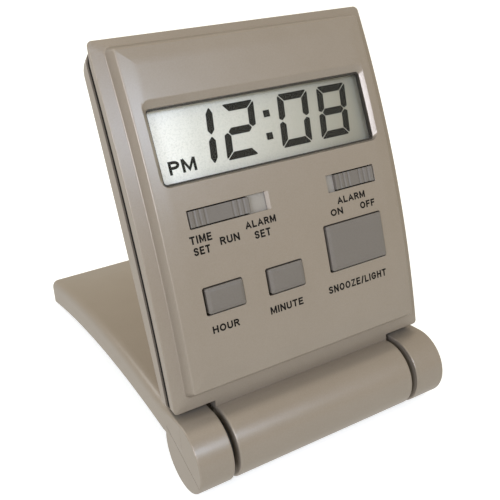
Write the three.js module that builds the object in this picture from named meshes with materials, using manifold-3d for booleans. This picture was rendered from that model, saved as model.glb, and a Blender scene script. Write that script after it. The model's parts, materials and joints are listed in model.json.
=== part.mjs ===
// Folding travel alarm clock, millimetres, +Z up, standing open on its lid.
//
// Two leaves turn on one hinge barrel. The clock leaf carries the display and the controls.
// The lid leaf is a shallow tray: folded shut it covers the face, and opened it is the stand.
// Both leaves are drawn in the same leaf frame: x along the hinge, y up the leaf away from
// the hinge axis, z out of the face. In that frame the two leaves lie shut on each other.

import * as THREE from 'three';
import { mergeVertices } from 'three/addons/utils/BufferGeometryUtils.js';
import Module from 'manifold-3d';

const wasm = await Module();
wasm.setup();

// ---------------------------------------------------------------- driving dimensions

const CLEAR = 0.3; // gap kept between pieces that meet
const WALL = 1.6; // moulded wall of the case and the lid

// Case and its arched face
const CASE_WIDTH = 74;
const CASE_BOTTOM = 10.5; // case's lower edge above the hinge axis
const CASE_HEIGHT = 86.3;
const CASE_CORNER_R = 2.8;
const BACK_ROUND_R = 2.4;
const FACE_RADIUS = 275.5; // the face is part of a cylinder along x
const RIM_RISE = 1.5; // rim above the hinge axis at the case's lower and upper edges
const BACK_RADIUS = 1500; // the back is arched too, but much flatter
const SEAM_RADIUS = 388; // arch of the side seam, between the two
const SEAM_DEPTH = 2.7; // rim surface to the middle of the side seam, at the case's lower edge
const SEAM_GAP = 1.5;
const SEAM_INSET = 0.5; // black bead below the case's side

// Raised front panel
const PANEL_RAISE = 3.9;
const PANEL_DRAFT = 1.0;
const PANEL_SIDE_MARGIN = 3.2; // case edge to the foot of the panel's wall
const PANEL_TOP_MARGIN = 2.0;
const PANEL_BOTTOM_MARGIN = 3.4;
const PANEL_CORNER_R = 1.6;

// Hinge
const BARREL_R = 9.0; // middle barrel, on the clock
const KNUCKLE_PROUD = 0.1; // the lid's knuckles carry the weight, so they are this much larger
const KNUCKLE_GAP = 1.6;
const PIN_R = 2.4;
const PIN_GRIP = 7.3; // length of pin inside a knuckle
const WASHER_R = 6.4;
const WASHER_THICKNESS = 1.0;
const LEAN_BACK = 23.94; // face's lean from upright, degrees
const FOOT_LAND = 0.35; // the lid's far edge is trimmed this deep, flat on the table
const KNUCKLE_LAND = 0.03; // the same under the knuckles

// Lid
const LID_DEPTH = 7.7; // lid's rim to its outer surface
const LID_ROUND_R = 2.8;
const LID_BARREL_GAP = 0.6;

// Display
const WINDOW_TOP_MARGIN = 15.05; // case's upper edge to the window
const WINDOW_HEIGHT = 19.0;
const WINDOW_SIDE_MARGIN = 6.7;
const WINDOW_BEVEL = 1.5;
const WINDOW_CORNER_R = 2.2;
const LENS_THICKNESS = 0.8;
const LENS_DEPTH = 2.1; // panel surface to the lens
const LCD_DEPTH = 3.4; // panel surface to the glass
const LCD_THICKNESS = 1.0;
const LCD_SIDE_MARGIN = 1.2; // glass hidden beyond the window's sides
const LCD_END_MARGIN = 2.2; // glass hidden above and below the window
const HOLDER_WALL = 0.8;
const DIFFUSER_THICKNESS = 0.7;
const ZEBRA_WIDTH = 1.2;
const LED_WIDTH = 1.4;

// Slide switches
const SLOT_DROP = 8.4; // window's lower edge to the slots' middle
const SLOT_HEIGHT = 4.3;
const MODE_SLOT_MARGIN = 11.0; // case side to the slot
const MODE_SLOT_LENGTH = 20.6;
const MODE_TRAVEL = 4.4;
const ALARM_SLOT_MARGIN = 10.4;
const ALARM_SLOT_LENGTH = 14.6;
const ALARM_TRAVEL = 2.3;
const SLIDER_PLATE = 0.7;
const SLIDER_LIP = 0.8; // plate above and below the slot
const SLIDER_END_LIP = 0.4;
const KNOB_DISH = 0.35;
const RIB_PITCH = 1.0;
const RIB_GROOVE = 0.25;
const WIPER_THICKNESS = 0.25;
const WIPER_LENGTH = 6.0;
const WIPER_RISE = 0.5;

// Push buttons
const BUTTON_PROUD = 0.5;
const BUTTON_CHAMFER = 0.3;
const BUTTON_FLANGE = 1.0; // flange beyond the hole
const BUTTON_FLANGE_THICKNESS = 0.7;
const BUTTON_TRAVEL = 0.6;
const BUTTON_CORNER_R = 0.6;
const STEM_R = 1.6;
const KEY_ROW_DROP = 18.95; // slots' middle to the middle of the hour and minute buttons
const HOUR_MARGIN = 11.0;
const HOUR_WIDTH = 10.3;
const MINUTE_WIDTH = 10.3;
const MINUTE_SHIFT = -0.65; // from the middle of the space between hour and snooze
const KEY_HEIGHT = 6.6;
const SNOOZE_DROP = 15.65;
const SNOOZE_MARGIN = 10.6;
const SNOOZE_WIDTH = 17.6;
const SNOOZE_HEIGHT = 11.9;

// Circuit board and what it carries
const BOARD_SPACE = 4.4; // room behind the board for its parts and the buzzer
const BOARD_THICKNESS = 1.0;
const BOARD_SIDE_MARGIN = 5.5; // case side to the board
const BOARD_BOTTOM_MARGIN = 12.6;
const BOARD_TOP_MARGIN = 10.2;
const SWITCH_SIZE = 4.5;
const SWITCH_HEIGHT = 1.5;
const PLUNGER_R = 1.0;
const PLUNGER_HEIGHT = 0.6;
const BLOB_R = 3.2;
const BLOB_HEIGHT = 0.7;
const CRYSTAL_R = 0.9;
const CRYSTAL_LENGTH = 6.2;
const CAPACITOR_LENGTH = 3.2;
const CAPACITOR_WIDTH = 1.8;
const CAPACITOR_HEIGHT = 1.2;
const BUZZER_R = 9.0;
const BUZZER_THICKNESS = 0.5;
const BUZZER_RISE = 19.5; // case's lower edge to the buzzer's middle
const SOUND_SLOT_WIDTH = 1.0;
const SOUND_SLOT_PITCH = 2.6;
const SOUND_SLOTS = 5;
const MIDDLE_FRAME_WALL = 1.0;

// Fasteners
const SCREW_SIDE_MARGIN = 7.5; // case side to the case screws
const SCREW_END_MARGIN = 7.2; // case's ends to the case screws
const SCREW_SHANK_R = 0.85;
const SCREW_HEAD_R = 1.8;
const SCREW_HEAD_HEIGHT = 1.1;
const SCREW_SUNK = 0.5; // head below the back surface
const SCREW_LENGTH = 6.5;
const SCREW_BOSS_R = 2.4;
const SCREW_PILLAR_R = 3.2;
const BOARD_SCREW_HEAD_R = 1.5;
const BOARD_SCREW_HEAD_HEIGHT = 0.7;
const BOARD_SCREW_LENGTH = 4.2;
const BOARD_BOSS_R = 1.9;
const BOARD_BOSS_MARGIN = 0.8; // board's edge to the boss
const BOSS_ROOT = 0.6; // how far a boss runs into the panel

// Battery compartment in the barrel
const BAY_END_WALL = 1.5;
const CELL_R = 5.25; // AAA cell
const CELL_LENGTH = 44.5;
const CELL_NUB_R = 1.9;
const CELL_NUB_LENGTH = 0.8;
const TERMINAL_THICKNESS = 0.4;
const TERMINAL_R = 3.6;
const TERMINAL_TAIL = 1.4;
const SPRING_LENGTH = 2.8; // coil between the terminal and the cell
const SPRING_WIRE_R = 0.3;
const SPRING_TURNS = 2.5;
const DOOR_HALF_ANGLE = 41; // degrees of barrel covered to each side of the door's middle
const DOOR_DIRECTION = -119; // door's middle round the barrel, degrees from the leaf's y
const DOOR_END_MARGIN = 2.3; // barrel end to the door

// Facets
const ARCH_STATIONS = 12; // steps along the arch of the face
const ROUND_STEPS = 2; // points added inside each quarter round
const BARREL_SIDES = 48;
const SMALL_SIDES = 16;

// ---------------------------------------------------------------- values that follow

const HALF_WIDTH = CASE_WIDTH / 2;
const CASE_TOP = CASE_BOTTOM + CASE_HEIGHT;
const ARCH_MIDDLE = (CASE_BOTTOM + CASE_TOP) / 2;
const KNUCKLE_R = BARREL_R + KNUCKLE_PROUD;
// The barrel takes the cell, its spring and both terminals, with a gap at each of their five faces.
const BAY_LENGTH = CELL_LENGTH + SPRING_LENGTH + 2 * TERMINAL_THICKNESS + 5 * CLEAR;
const BARREL_LENGTH = BAY_LENGTH + 2 * BAY_END_WALL;
const BARREL_HALF = BARREL_LENGTH / 2;
const KNUCKLE_INNER = BARREL_HALF + KNUCKLE_GAP;
const BAY_R = BARREL_R - WALL;
const BAY_HALF = BAY_LENGTH / 2;
const LID_NEAR = BARREL_R + LID_BARREL_GAP;

const PANEL_HALF = HALF_WIDTH - PANEL_SIDE_MARGIN;
const PANEL_BOTTOM = CASE_BOTTOM + PANEL_BOTTOM_MARGIN;
const PANEL_TOP = CASE_TOP - PANEL_TOP_MARGIN;

const WINDOW_MIDDLE = CASE_TOP - WINDOW_TOP_MARGIN - WINDOW_HEIGHT / 2;
const WINDOW_HALF_WIDTH = HALF_WIDTH - WINDOW_SIDE_MARGIN;
const VIEW_HALF_WIDTH = WINDOW_HALF_WIDTH - WINDOW_BEVEL;
const VIEW_HALF_HEIGHT = WINDOW_HEIGHT / 2 - WINDOW_BEVEL;
const LCD_HALF_WIDTH = VIEW_HALF_WIDTH + LCD_SIDE_MARGIN;
const LCD_HALF_HEIGHT = VIEW_HALF_HEIGHT + LCD_END_MARGIN;

const SLOT_MIDDLE = CASE_TOP - WINDOW_TOP_MARGIN - WINDOW_HEIGHT - SLOT_DROP;
const MODE_SLOT = [-HALF_WIDTH + MODE_SLOT_MARGIN, -HALF_WIDTH + MODE_SLOT_MARGIN + MODE_SLOT_LENGTH];
const ALARM_SLOT = [HALF_WIDTH - ALARM_SLOT_MARGIN - ALARM_SLOT_LENGTH, HALF_WIDTH - ALARM_SLOT_MARGIN];
const KEY_MIDDLE = SLOT_MIDDLE - KEY_ROW_DROP;
const SNOOZE_MIDDLE = SLOT_MIDDLE - SNOOZE_DROP;
const HOUR_X = -HALF_WIDTH + HOUR_MARGIN + HOUR_WIDTH / 2;
const SNOOZE_X = HALF_WIDTH - SNOOZE_MARGIN - SNOOZE_WIDTH / 2;
const MINUTE_X = (HOUR_X + HOUR_WIDTH / 2 + SNOOZE_X - SNOOZE_WIDTH / 2) / 2 + MINUTE_SHIFT;

const BOARD_HALF = HALF_WIDTH - BOARD_SIDE_MARGIN;
const BOARD_BOTTOM = CASE_BOTTOM + BOARD_BOTTOM_MARGIN;
const BOARD_TOP = CASE_TOP - BOARD_TOP_MARGIN;
const BUZZER_MIDDLE = CASE_BOTTOM + BUZZER_RISE;

/** How far an arch of a radius stands above the chord of the case's height, at height y. */
const archRise = (radius, y) => Math.sqrt(radius ** 2 - (y - ARCH_MIDDLE) ** 2)
  - Math.sqrt(radius ** 2 - (CASE_HEIGHT / 2) ** 2);

/** Rim surface above the hinge axis plane, at height y up the leaf. */
const rimZ = (y) => RIM_RISE + archRise(FACE_RADIUS, y);
const seamZ = (y) => RIM_RISE - SEAM_DEPTH + archRise(SEAM_RADIUS, y);
const panelZ = (y) => rimZ(y) + PANEL_RAISE;
const innerPanelZ = (y) => panelZ(y) - WALL;
const archTilt = (y) => -Math.asin((y - ARCH_MIDDLE) / FACE_RADIUS);

// The board lies just behind the display's holder, and the case is as deep as the board needs.
const DISPLAY_FLOOR = LCD_DEPTH + LCD_THICKNESS + CLEAR + DIFFUSER_THICKNESS;
const HOLDER_HALF_HEIGHT = LCD_HALF_HEIGHT + CLEAR + HOLDER_WALL;
const HOLDER_LOW = panelZ(WINDOW_MIDDLE)
  - HOLDER_HALF_HEIGHT * Math.abs(Math.sin(archTilt(WINDOW_MIDDLE)))
  - DISPLAY_FLOOR * Math.cos(archTilt(WINDOW_MIDDLE));
const BOARD_FRONT = HOLDER_LOW - CLEAR;
const BOARD_BACK = BOARD_FRONT - BOARD_THICKNESS;
const BACK_MIDDLE = BOARD_BACK - BOARD_SPACE - WALL; // back surface at the case's middle
const backZ = (y) => BACK_MIDDLE - archRise(BACK_RADIUS, ARCH_MIDDLE) + archRise(BACK_RADIUS, y);
const innerBackZ = (y) => backZ(y) + WALL;

const AXIS_HEIGHT = KNUCKLE_R - KNUCKLE_LAND;
const LID_RIM_END = rimZ(CASE_TOP) + CLEAR;
const LID_TILT = Math.asin(-(AXIS_HEIGHT + FOOT_LAND) / Math.hypot(CASE_TOP, LID_RIM_END))
  - Math.atan2(LID_RIM_END, CASE_TOP);

const BOARD_SCREWS = [
  [(MODE_SLOT[1] + ALARM_SLOT[0]) / 2, SLOT_MIDDLE],
  [-BOARD_HALF + BOARD_BOSS_R + BOARD_BOSS_MARGIN, BOARD_BOTTOM + BOARD_BOSS_R + BOARD_BOSS_MARGIN],
  [BOARD_HALF - BOARD_BOSS_R - BOARD_BOSS_MARGIN, BOARD_BOTTOM + BOARD_BOSS_R + BOARD_BOSS_MARGIN],
];
const CASE_SCREWS = [
  [-HALF_WIDTH + SCREW_SIDE_MARGIN, CASE_BOTTOM + SCREW_END_MARGIN],
  [HALF_WIDTH - SCREW_SIDE_MARGIN, CASE_BOTTOM + SCREW_END_MARGIN],
  [-HALF_WIDTH + SCREW_SIDE_MARGIN, CASE_TOP - SCREW_END_MARGIN],
  [HALF_WIDTH - SCREW_SIDE_MARGIN, CASE_TOP - SCREW_END_MARGIN],
];

// ---------------------------------------------------------------- shape helpers

const degrees = (angle) => THREE.MathUtils.degToRad(angle);

function toSolid(geometry) {
  const bare = geometry.index ? geometry.toNonIndexed() : geometry.clone();
  bare.deleteAttribute('normal');
  bare.deleteAttribute('uv');
  const merged = mergeVertices(bare, 1e-4);
  return new wasm.Manifold(new wasm.Mesh({
    numProp: 3,
    vertProperties: new Float32Array(merged.attributes.position.array),
    triVerts: new Uint32Array(merged.index.array),
  }));
}

function toGeometry(solid) {
  const mesh = solid.getMesh();
  const geometry = new THREE.BufferGeometry();
  geometry.setAttribute('position', new THREE.BufferAttribute(mesh.vertProperties, 3));
  geometry.setIndex(new THREE.BufferAttribute(mesh.triVerts, 1));
  const flat = geometry.toNonIndexed();
  flat.computeVertexNormals();
  return flat;
}

const joinAll = (solids) => solids.reduce((sum, solid) => sum.add(solid));
const cutAll = (solid, cutters) => cutters.reduce((rest, cutter) => rest.subtract(cutter), solid);

function extrude(points, depth) {
  const shape = new THREE.Shape(points.map(([a, b]) => new THREE.Vector2(a, b)));
  return new THREE.ExtrudeGeometry(shape, { depth, bevelEnabled: false, steps: 1 });
}

/** Outline in x and y, drawn out along z from low to high. */
function prismZ(points, low, high, frame = new THREE.Matrix4()) {
  const geometry = extrude(points, high - low);
  return toSolid(geometry.translate(0, 0, low).applyMatrix4(frame));
}

/** Outline in y and z, drawn out along x from left to right. */
function prismX(points, left, right) {
  const turn = new THREE.Matrix4().set(0, 0, 1, left, 1, 0, 0, 0, 0, 1, 0, 0, 0, 0, 0, 1);
  return toSolid(extrude(points, right - left).applyMatrix4(turn));
}

/** Outline in x and z, drawn out along y from near to far. */
function prismY(points, near, far, frame = new THREE.Matrix4()) {
  const turn = new THREE.Matrix4().set(1, 0, 0, 0, 0, 0, -1, far, 0, 1, 0, 0, 0, 0, 0, 1);
  return toSolid(extrude(points, far - near).applyMatrix4(turn).applyMatrix4(frame));
}

function circle(a, b, radius, sides = SMALL_SIDES) {
  return Array.from({ length: sides }, (_, i) => {
    const angle = (2 * Math.PI * i) / sides;
    return [a + radius * Math.cos(angle), b + radius * Math.sin(angle)];
  });
}

/** Rectangle with round corners, anticlockwise. */
function roundedRectangle(x, y, halfWidth, halfHeight, radius) {
  const corners = [[1, 1, 0], [-1, 1, 90], [-1, -1, 180], [1, -1, 270]];
  return corners.flatMap(([sx, sy, start]) => Array.from({ length: ROUND_STEPS + 2 }, (_, i) => {
    const angle = degrees(start + (90 * i) / (ROUND_STEPS + 1));
    const cx = x + sx * (halfWidth - radius);
    const cy = y + sy * (halfHeight - radius);
    return [cx + radius * Math.cos(angle), cy + radius * Math.sin(angle)];
  }));
}

function box(x0, x1, y0, y1, z0, z1, frame) {
  return prismZ([[x0, y0], [x1, y0], [x1, y1], [x0, y1]], z0, z1, frame);
}

/** Solid through a run of closed rings that all have as many points. */
function loft(rings, frame = new THREE.Matrix4()) {
  const count = rings[0].length;
  const last = (rings.length - 1) * count;
  const index = [];
  for (let r = 0; r + 1 < rings.length; r += 1) {
    for (let i = 0; i < count; i += 1) {
      const a = r * count + i;
      const b = r * count + ((i + 1) % count);
      index.push(a, b, b + count, a, b + count, a + count);
    }
  }
  const acrossY = rings[0].some((point) => Math.abs(point[1] - rings[0][0][1]) > 1e-6);
  const flatten = (ring) => ring.map((point) => new THREE.Vector2(point[0], point[acrossY ? 1 : 2]));
  const clockwise = THREE.ShapeUtils.area(flatten(rings[0])) < 0;
  const cap = (ring, start, turned) => {
    THREE.ShapeUtils.triangulateShape(flatten(ring), []).forEach(([a, b, c]) => {
      index.push(...(turned ? [start + a, start + c, start + b] : [start + a, start + b, start + c]));
    });
  };
  cap(rings[0], 0, !clockwise);
  cap(rings[rings.length - 1], last, clockwise);
  const geometry = new THREE.BufferGeometry();
  geometry.setAttribute('position', new THREE.BufferAttribute(new Float32Array(rings.flat(2)), 3));
  // Rings that run the other way give a body turned inside out, so its faces are turned back.
  geometry.setIndex(clockwise === acrossY ? index.reverse() : index);
  return toSolid(geometry.applyMatrix4(frame));
}

const roundInset = (radius, distance) => (distance < radius
  ? radius - Math.sqrt(radius ** 2 - (radius - distance) ** 2)
  : 0);

/**
 * Slab that follows the arch of the face. Low and high are its surfaces, measured from the arched
 * surfaces under and over, which are the rim's unless named. Its plan has round corners, its low
 * and high edges can be round, and its wall can lean in by draft from low to high. A skirt carries
 * the wall straight on below low.
 */
function archedSlab({
  halfWidth, bottom, top, low, high, under = rimZ, over = rimZ, cornerR = 0, roundLow = 0, roundHigh = 0,
  draft = 0, skirt = 0,
}) {
  const thinnest = 0.03;
  const turnSteps = Array.from({ length: ROUND_STEPS + 2 }, (_, i) => i / (ROUND_STEPS + 1));
  const fromEnd = new Set([0, draft]);
  [cornerR, roundLow, roundHigh].forEach((radius) => turnSteps.forEach((step) => {
    fromEnd.add(radius * (1 - Math.cos((Math.PI / 2) * step)));
  }));
  const ends = [...fromEnd].sort((a, b) => a - b).filter((d, i, all) => i === 0 || d - all[i - 1] > 0.05);
  const reach = ends[ends.length - 1];
  const middle = Array.from({ length: ARCH_STATIONS - 1 }, (_, i) => (
    bottom + reach + ((top - bottom - 2 * reach) * (i + 1)) / ARCH_STATIONS));
  const stations = [...ends.map((d) => bottom + d), ...middle, ...ends.map((d) => top - d).reverse()];
  return loft(stations.map((y) => {
    const distance = Math.max(0, Math.min(y - bottom, top - y));
    const share = draft > 0 ? Math.max(thinnest, Math.min(1, distance / draft)) : 1;
    const foot = halfWidth - roundInset(cornerR, distance);
    const crest = foot - draft * share;
    const zLow = under(y) + low + roundInset(roundLow, distance);
    const zTop = over(y) + high;
    const zHigh = zLow + (zTop - zLow) * share - roundInset(roundHigh, distance);
    const riseLow = Math.max(thinnest, roundLow - roundInset(roundLow, distance));
    const riseHigh = Math.max(thinnest, roundHigh - roundInset(roundHigh, distance));
    const side = skirt > 0 ? [[foot, zLow - skirt]] : [];
    (roundLow > 0 ? turnSteps : [1]).forEach((step) => {
      const angle = (Math.PI / 2) * step;
      const rise = roundLow > 0 ? riseLow : 0;
      side.push([foot - roundLow * (1 - Math.sin(angle)), zLow + rise * (1 - Math.cos(angle))]);
    });
    (roundHigh > 0 ? turnSteps : [1]).forEach((step) => {
      const angle = (Math.PI / 2) * step;
      const rise = roundHigh > 0 ? riseHigh : 0;
      side.push([crest - roundHigh * (1 - Math.cos(angle)), zHigh - rise * (1 - Math.sin(angle))]);
    });
    const other = side.map(([x, z]) => [-x, z]).reverse();
    return [...side, ...other].map(([x, z]) => [x, y, z]);
  }));
}

/** Frame on an arched surface at height y: x across, y up along the surface, z out of it. */
function surfaceFrame(y, surface) {
  const turn = new THREE.Matrix4().makeRotationX(Math.atan(surface(y + 0.5) - surface(y - 0.5)));
  return new THREE.Matrix4().makeTranslation(0, y, surface(y)).multiply(turn);
}

/** Part of a ring round the hinge axis, drawn out along x. */
function barrelSector(innerR, outerR, direction, halfAngle, left, right) {
  const steps = 12;
  const arc = (radius, sign) => Array.from({ length: steps + 1 }, (_, i) => {
    const angle = degrees(direction + sign * halfAngle * ((2 * i) / steps - 1));
    return [radius * Math.cos(angle), radius * Math.sin(angle)];
  });
  return prismX([...arc(outerR, 1), ...arc(innerR, -1)], left, right);
}

// ---------------------------------------------------------------- case

/** Everything in front of the side seam, or everything behind it. */
function seamSide(front) {
  const sign = front ? 1 : -1;
  const far = CASE_WIDTH;
  const seam = seamZ(CASE_BOTTOM);
  const line = [[-far, seam + (sign * CLEAR) / 2], [CASE_BOTTOM, seam + (sign * CLEAR) / 2]];
  for (let i = 0; i <= ARCH_STATIONS; i += 1) {
    const y = CASE_BOTTOM + (CASE_HEIGHT * i) / ARCH_STATIONS;
    line.push([y, seamZ(y) + (sign * SEAM_GAP) / 2]);
  }
  line.push([CASE_TOP + far, seamZ(CASE_TOP) + (sign * SEAM_GAP) / 2]);
  return prismX([...line, [CASE_TOP + far, sign * far], [-far, sign * far]], -far, far);
}

function caseShell() {
  const webTop = CASE_BOTTOM + BACK_ROUND_R;
  const block = archedSlab({
    halfWidth: HALF_WIDTH,
    bottom: CASE_BOTTOM,
    top: CASE_TOP,
    under: backZ,
    low: 0,
    high: 0,
    cornerR: CASE_CORNER_R,
    roundLow: BACK_ROUND_R,
  });
  const panel = archedSlab({
    halfWidth: PANEL_HALF,
    bottom: PANEL_BOTTOM,
    top: PANEL_TOP,
    low: 0,
    high: PANEL_RAISE,
    cornerR: PANEL_CORNER_R,
    draft: PANEL_DRAFT,
    skirt: WALL / 2,
  });
  const hollow = archedSlab({
    halfWidth: HALF_WIDTH - WALL,
    bottom: CASE_BOTTOM + WALL,
    top: CASE_TOP - WALL,
    under: backZ,
    low: WALL,
    high: -WALL,
    cornerR: CASE_CORNER_R - WALL,
    roundLow: BACK_ROUND_R - WALL,
  });
  const panelHollow = archedSlab({
    halfWidth: PANEL_HALF - WALL,
    bottom: PANEL_BOTTOM + WALL,
    top: PANEL_TOP - WALL,
    low: 0,
    high: PANEL_RAISE - WALL,
    draft: PANEL_DRAFT,
    skirt: WALL * 2,
  });
  const barrel = prismX(circle(0, 0, BARREL_R, BARREL_SIDES), -BARREL_HALF, BARREL_HALF);
  const web = prismX(
    [[0, backZ(CASE_BOTTOM)], [webTop, backZ(webTop)], [webTop, RIM_RISE], [0, RIM_RISE]],
    -BARREL_HALF,
    BARREL_HALF,
  );
  const bay = prismX(circle(0, 0, BAY_R, BARREL_SIDES / 2), -BAY_HALF, BAY_HALF);
  const bore = prismX(circle(0, 0, PIN_R + CLEAR), -BARREL_LENGTH, BARREL_LENGTH);
  // Below the seam the case's lower side slopes, so that the opened lid lies flat along it.
  const heelTop = seamZ(CASE_BOTTOM) - SEAM_GAP / 2;
  const heelLow = backZ(CASE_BOTTOM) - WALL;
  const heelSlope = Math.tan(LID_TILT + degrees(LEAN_BACK));
  const heel = prismX([
    [0, heelTop],
    [CASE_BOTTOM, heelTop],
    [CASE_BOTTOM + (heelTop - heelLow) * heelSlope, heelLow],
    [0, heelLow],
  ], -CASE_WIDTH, CASE_WIDTH);
  return cutAll(joinAll([block.subtract(heel), panel, barrel, web]), [hollow, panelHollow, bay, bore]);
}

const shell = caseShell();
const keyFrame = surfaceFrame(KEY_MIDDLE, panelZ);
const snoozeFrame = surfaceFrame(SNOOZE_MIDDLE, panelZ);
const slotFrame = surfaceFrame(SLOT_MIDDLE, panelZ);
const windowFrame = surfaceFrame(WINDOW_MIDDLE, panelZ);
const smallKey = { y: KEY_MIDDLE, height: KEY_HEIGHT, frame: keyFrame };
const largeKey = { y: SNOOZE_MIDDLE, height: SNOOZE_HEIGHT, frame: snoozeFrame };
const KEYS = [
  { name: 'hour', x: HOUR_X, width: HOUR_WIDTH, ...smallKey },
  { name: 'minute', x: MINUTE_X, width: MINUTE_WIDTH, ...smallKey },
  { name: 'snooze', x: SNOOZE_X, width: SNOOZE_WIDTH, ...largeKey },
];

const HEAD_FLOOR = SCREW_SUNK + SCREW_HEAD_HEIGHT + CLEAR; // back surface to the counterbore's floor
const PILLAR_HEIGHT = HEAD_FLOOR + WALL;

function frontBezel() {
  const bevelSlope = WINDOW_BEVEL / WALL;
  const windowRing = (z) => roundedRectangle(
    0,
    0,
    WINDOW_HALF_WIDTH + z * bevelSlope,
    WINDOW_HEIGHT / 2 + z * bevelSlope,
    WINDOW_CORNER_R,
  ).map(([x, y]) => [x, y, z]);
  const caseBosses = CASE_SCREWS.map(([x, y]) => prismZ(
    circle(x, y, SCREW_BOSS_R),
    backZ(y) + PILLAR_HEIGHT + CLEAR,
    innerPanelZ(y) + BOSS_ROOT,
  ));
  const boardBosses = BOARD_SCREWS.map(([x, y]) => prismZ(
    circle(x, y, BOARD_BOSS_R),
    BOARD_FRONT + CLEAR,
    innerPanelZ(y) + BOSS_ROOT,
  ));
  const bores = [...CASE_SCREWS, ...BOARD_SCREWS].map(([x, y]) => prismZ(
    circle(x, y, SCREW_SHANK_R + CLEAR),
    backZ(y),
    innerPanelZ(y) - BOSS_ROOT,
  ));
  const slots = [MODE_SLOT, ALARM_SLOT].map(([left, right]) => box(
    left,
    right,
    -SLOT_HEIGHT / 2,
    SLOT_HEIGHT / 2,
    -2 * WALL,
    WALL,
    slotFrame,
  ));
  const holes = KEYS.map(({ x, width, height, frame }) => prismZ(
    roundedRectangle(x, 0, width / 2, height / 2, BUTTON_CORNER_R),
    -2 * WALL,
    WALL,
    frame,
  ));
  const window = loft([windowRing(-1.5 * WALL), windowRing(WALL / 2)], windowFrame);
  const front = joinAll([shell.intersect(seamSide(true)), ...caseBosses, ...boardBosses]);
  return cutAll(front, [...bores, ...slots, ...holes, window]);
}

function backCover() {
  const pillars = CASE_SCREWS.map(([x, y]) => prismZ(
    circle(x, y, SCREW_PILLAR_R),
    backZ(y) + WALL / 2,
    backZ(y) + PILLAR_HEIGHT,
  ));
  const heads = CASE_SCREWS.map(([x, y]) => prismZ(
    circle(x, y, SCREW_HEAD_R + CLEAR),
    backZ(y) - WALL,
    backZ(y) + HEAD_FLOOR,
  ));
  const shanks = CASE_SCREWS.map(([x, y]) => prismZ(
    circle(x, y, SCREW_SHANK_R + CLEAR),
    backZ(y),
    rimZ(y),
  ));
  const soundFrame = surfaceFrame(BUZZER_MIDDLE, backZ);
  const sounds = Array.from({ length: SOUND_SLOTS }, (_, i) => {
    const x = (i - (SOUND_SLOTS - 1) / 2) * SOUND_SLOT_PITCH;
    const reach = Math.sqrt((BUZZER_R - CLEAR) ** 2 - x ** 2) - WALL;
    const half = SOUND_SLOT_WIDTH / 2;
    return box(x - half, x + half, -reach, reach, -WALL, 2 * WALL, soundFrame);
  });
  const doorway = barrelSector(
    BAY_R - WALL,
    BARREL_R + WALL,
    DOOR_DIRECTION,
    DOOR_HALF_ANGLE + THREE.MathUtils.radToDeg(CLEAR / BAY_R),
    -DOOR_HALF_LENGTH - CLEAR,
    DOOR_HALF_LENGTH + CLEAR,
  );
  const tails = TERMINALS.map(({ x }) => terminalArm(x, TERMINAL_THICKNESS / 2 + CLEAR, CLEAR));
  const back = joinAll([shell.intersect(seamSide(false)), ...pillars]);
  return cutAll(back, [...heads, ...shanks, ...sounds, doorway, ...tails]);
}

/** Black ring between the two shells: its bead shows as the dark line round the case's side. */
function middleFrame() {
  const wallInset = WALL + CLEAR;
  const ring = (inset, under, low, over, high) => archedSlab({
    halfWidth: HALF_WIDTH - inset,
    bottom: CASE_BOTTOM + inset,
    top: CASE_TOP - inset,
    under,
    low,
    over,
    high,
    cornerR: Math.max(CASE_CORNER_R - inset, CLEAR),
  });
  const beadHalf = SEAM_GAP / 2 - CLEAR;
  const bead = ring(SEAM_INSET, seamZ, -beadHalf, seamZ, beadHalf);
  const wall = ring(wallInset, backZ, WALL + BACK_ROUND_R, rimZ, -WALL - CLEAR);
  const inside = ring(wallInset + MIDDLE_FRAME_WALL, backZ, 0, rimZ, PANEL_RAISE);
  const notches = TERMINALS.map(({ x }) => terminalArm(x, TERMINAL_THICKNESS / 2 + CLEAR, CLEAR));
  return cutAll(bead.add(wall), [inside, ...notches]);
}

// ---------------------------------------------------------------- display

const displayPlate = (halfWidth, halfHeight, depth, thickness) => prismZ(
  roundedRectangle(0, 0, halfWidth, halfHeight, CLEAR * 2),
  -depth - thickness,
  -depth,
  windowFrame,
);

const displayLens = () => displayPlate(LCD_HALF_WIDTH, LCD_HALF_HEIGHT, LENS_DEPTH, LENS_THICKNESS);
const lcdGlass = () => displayPlate(LCD_HALF_WIDTH, LCD_HALF_HEIGHT, LCD_DEPTH, LCD_THICKNESS);

function displayHolder() {
  const inner = displayPlate(LCD_HALF_WIDTH + CLEAR, LCD_HALF_HEIGHT + CLEAR, 0, 2 * DISPLAY_FLOOR);
  const outer = displayPlate(
    LCD_HALF_WIDTH + CLEAR + HOLDER_WALL,
    HOLDER_HALF_HEIGHT,
    LENS_DEPTH,
    DISPLAY_FLOOR - LENS_DEPTH,
  );
  return outer.subtract(inner);
}

const DIFFUSER_HALF_HEIGHT = LCD_HALF_HEIGHT - ZEBRA_WIDTH - 2 * CLEAR;
const DIFFUSER_TOP = LCD_DEPTH + LCD_THICKNESS + CLEAR;

const backlightDiffuser = () => box(
  -LCD_HALF_WIDTH + LED_WIDTH + CLEAR,
  LCD_HALF_WIDTH,
  -DIFFUSER_HALF_HEIGHT,
  DIFFUSER_HALF_HEIGHT,
  -DISPLAY_FLOOR,
  -DIFFUSER_TOP,
  windowFrame,
);

const backlightLed = () => box(
  -LCD_HALF_WIDTH,
  -LCD_HALF_WIDTH + LED_WIDTH,
  -LED_WIDTH,
  LED_WIDTH,
  -DISPLAY_FLOOR,
  -DIFFUSER_TOP,
  windowFrame,
);

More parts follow.
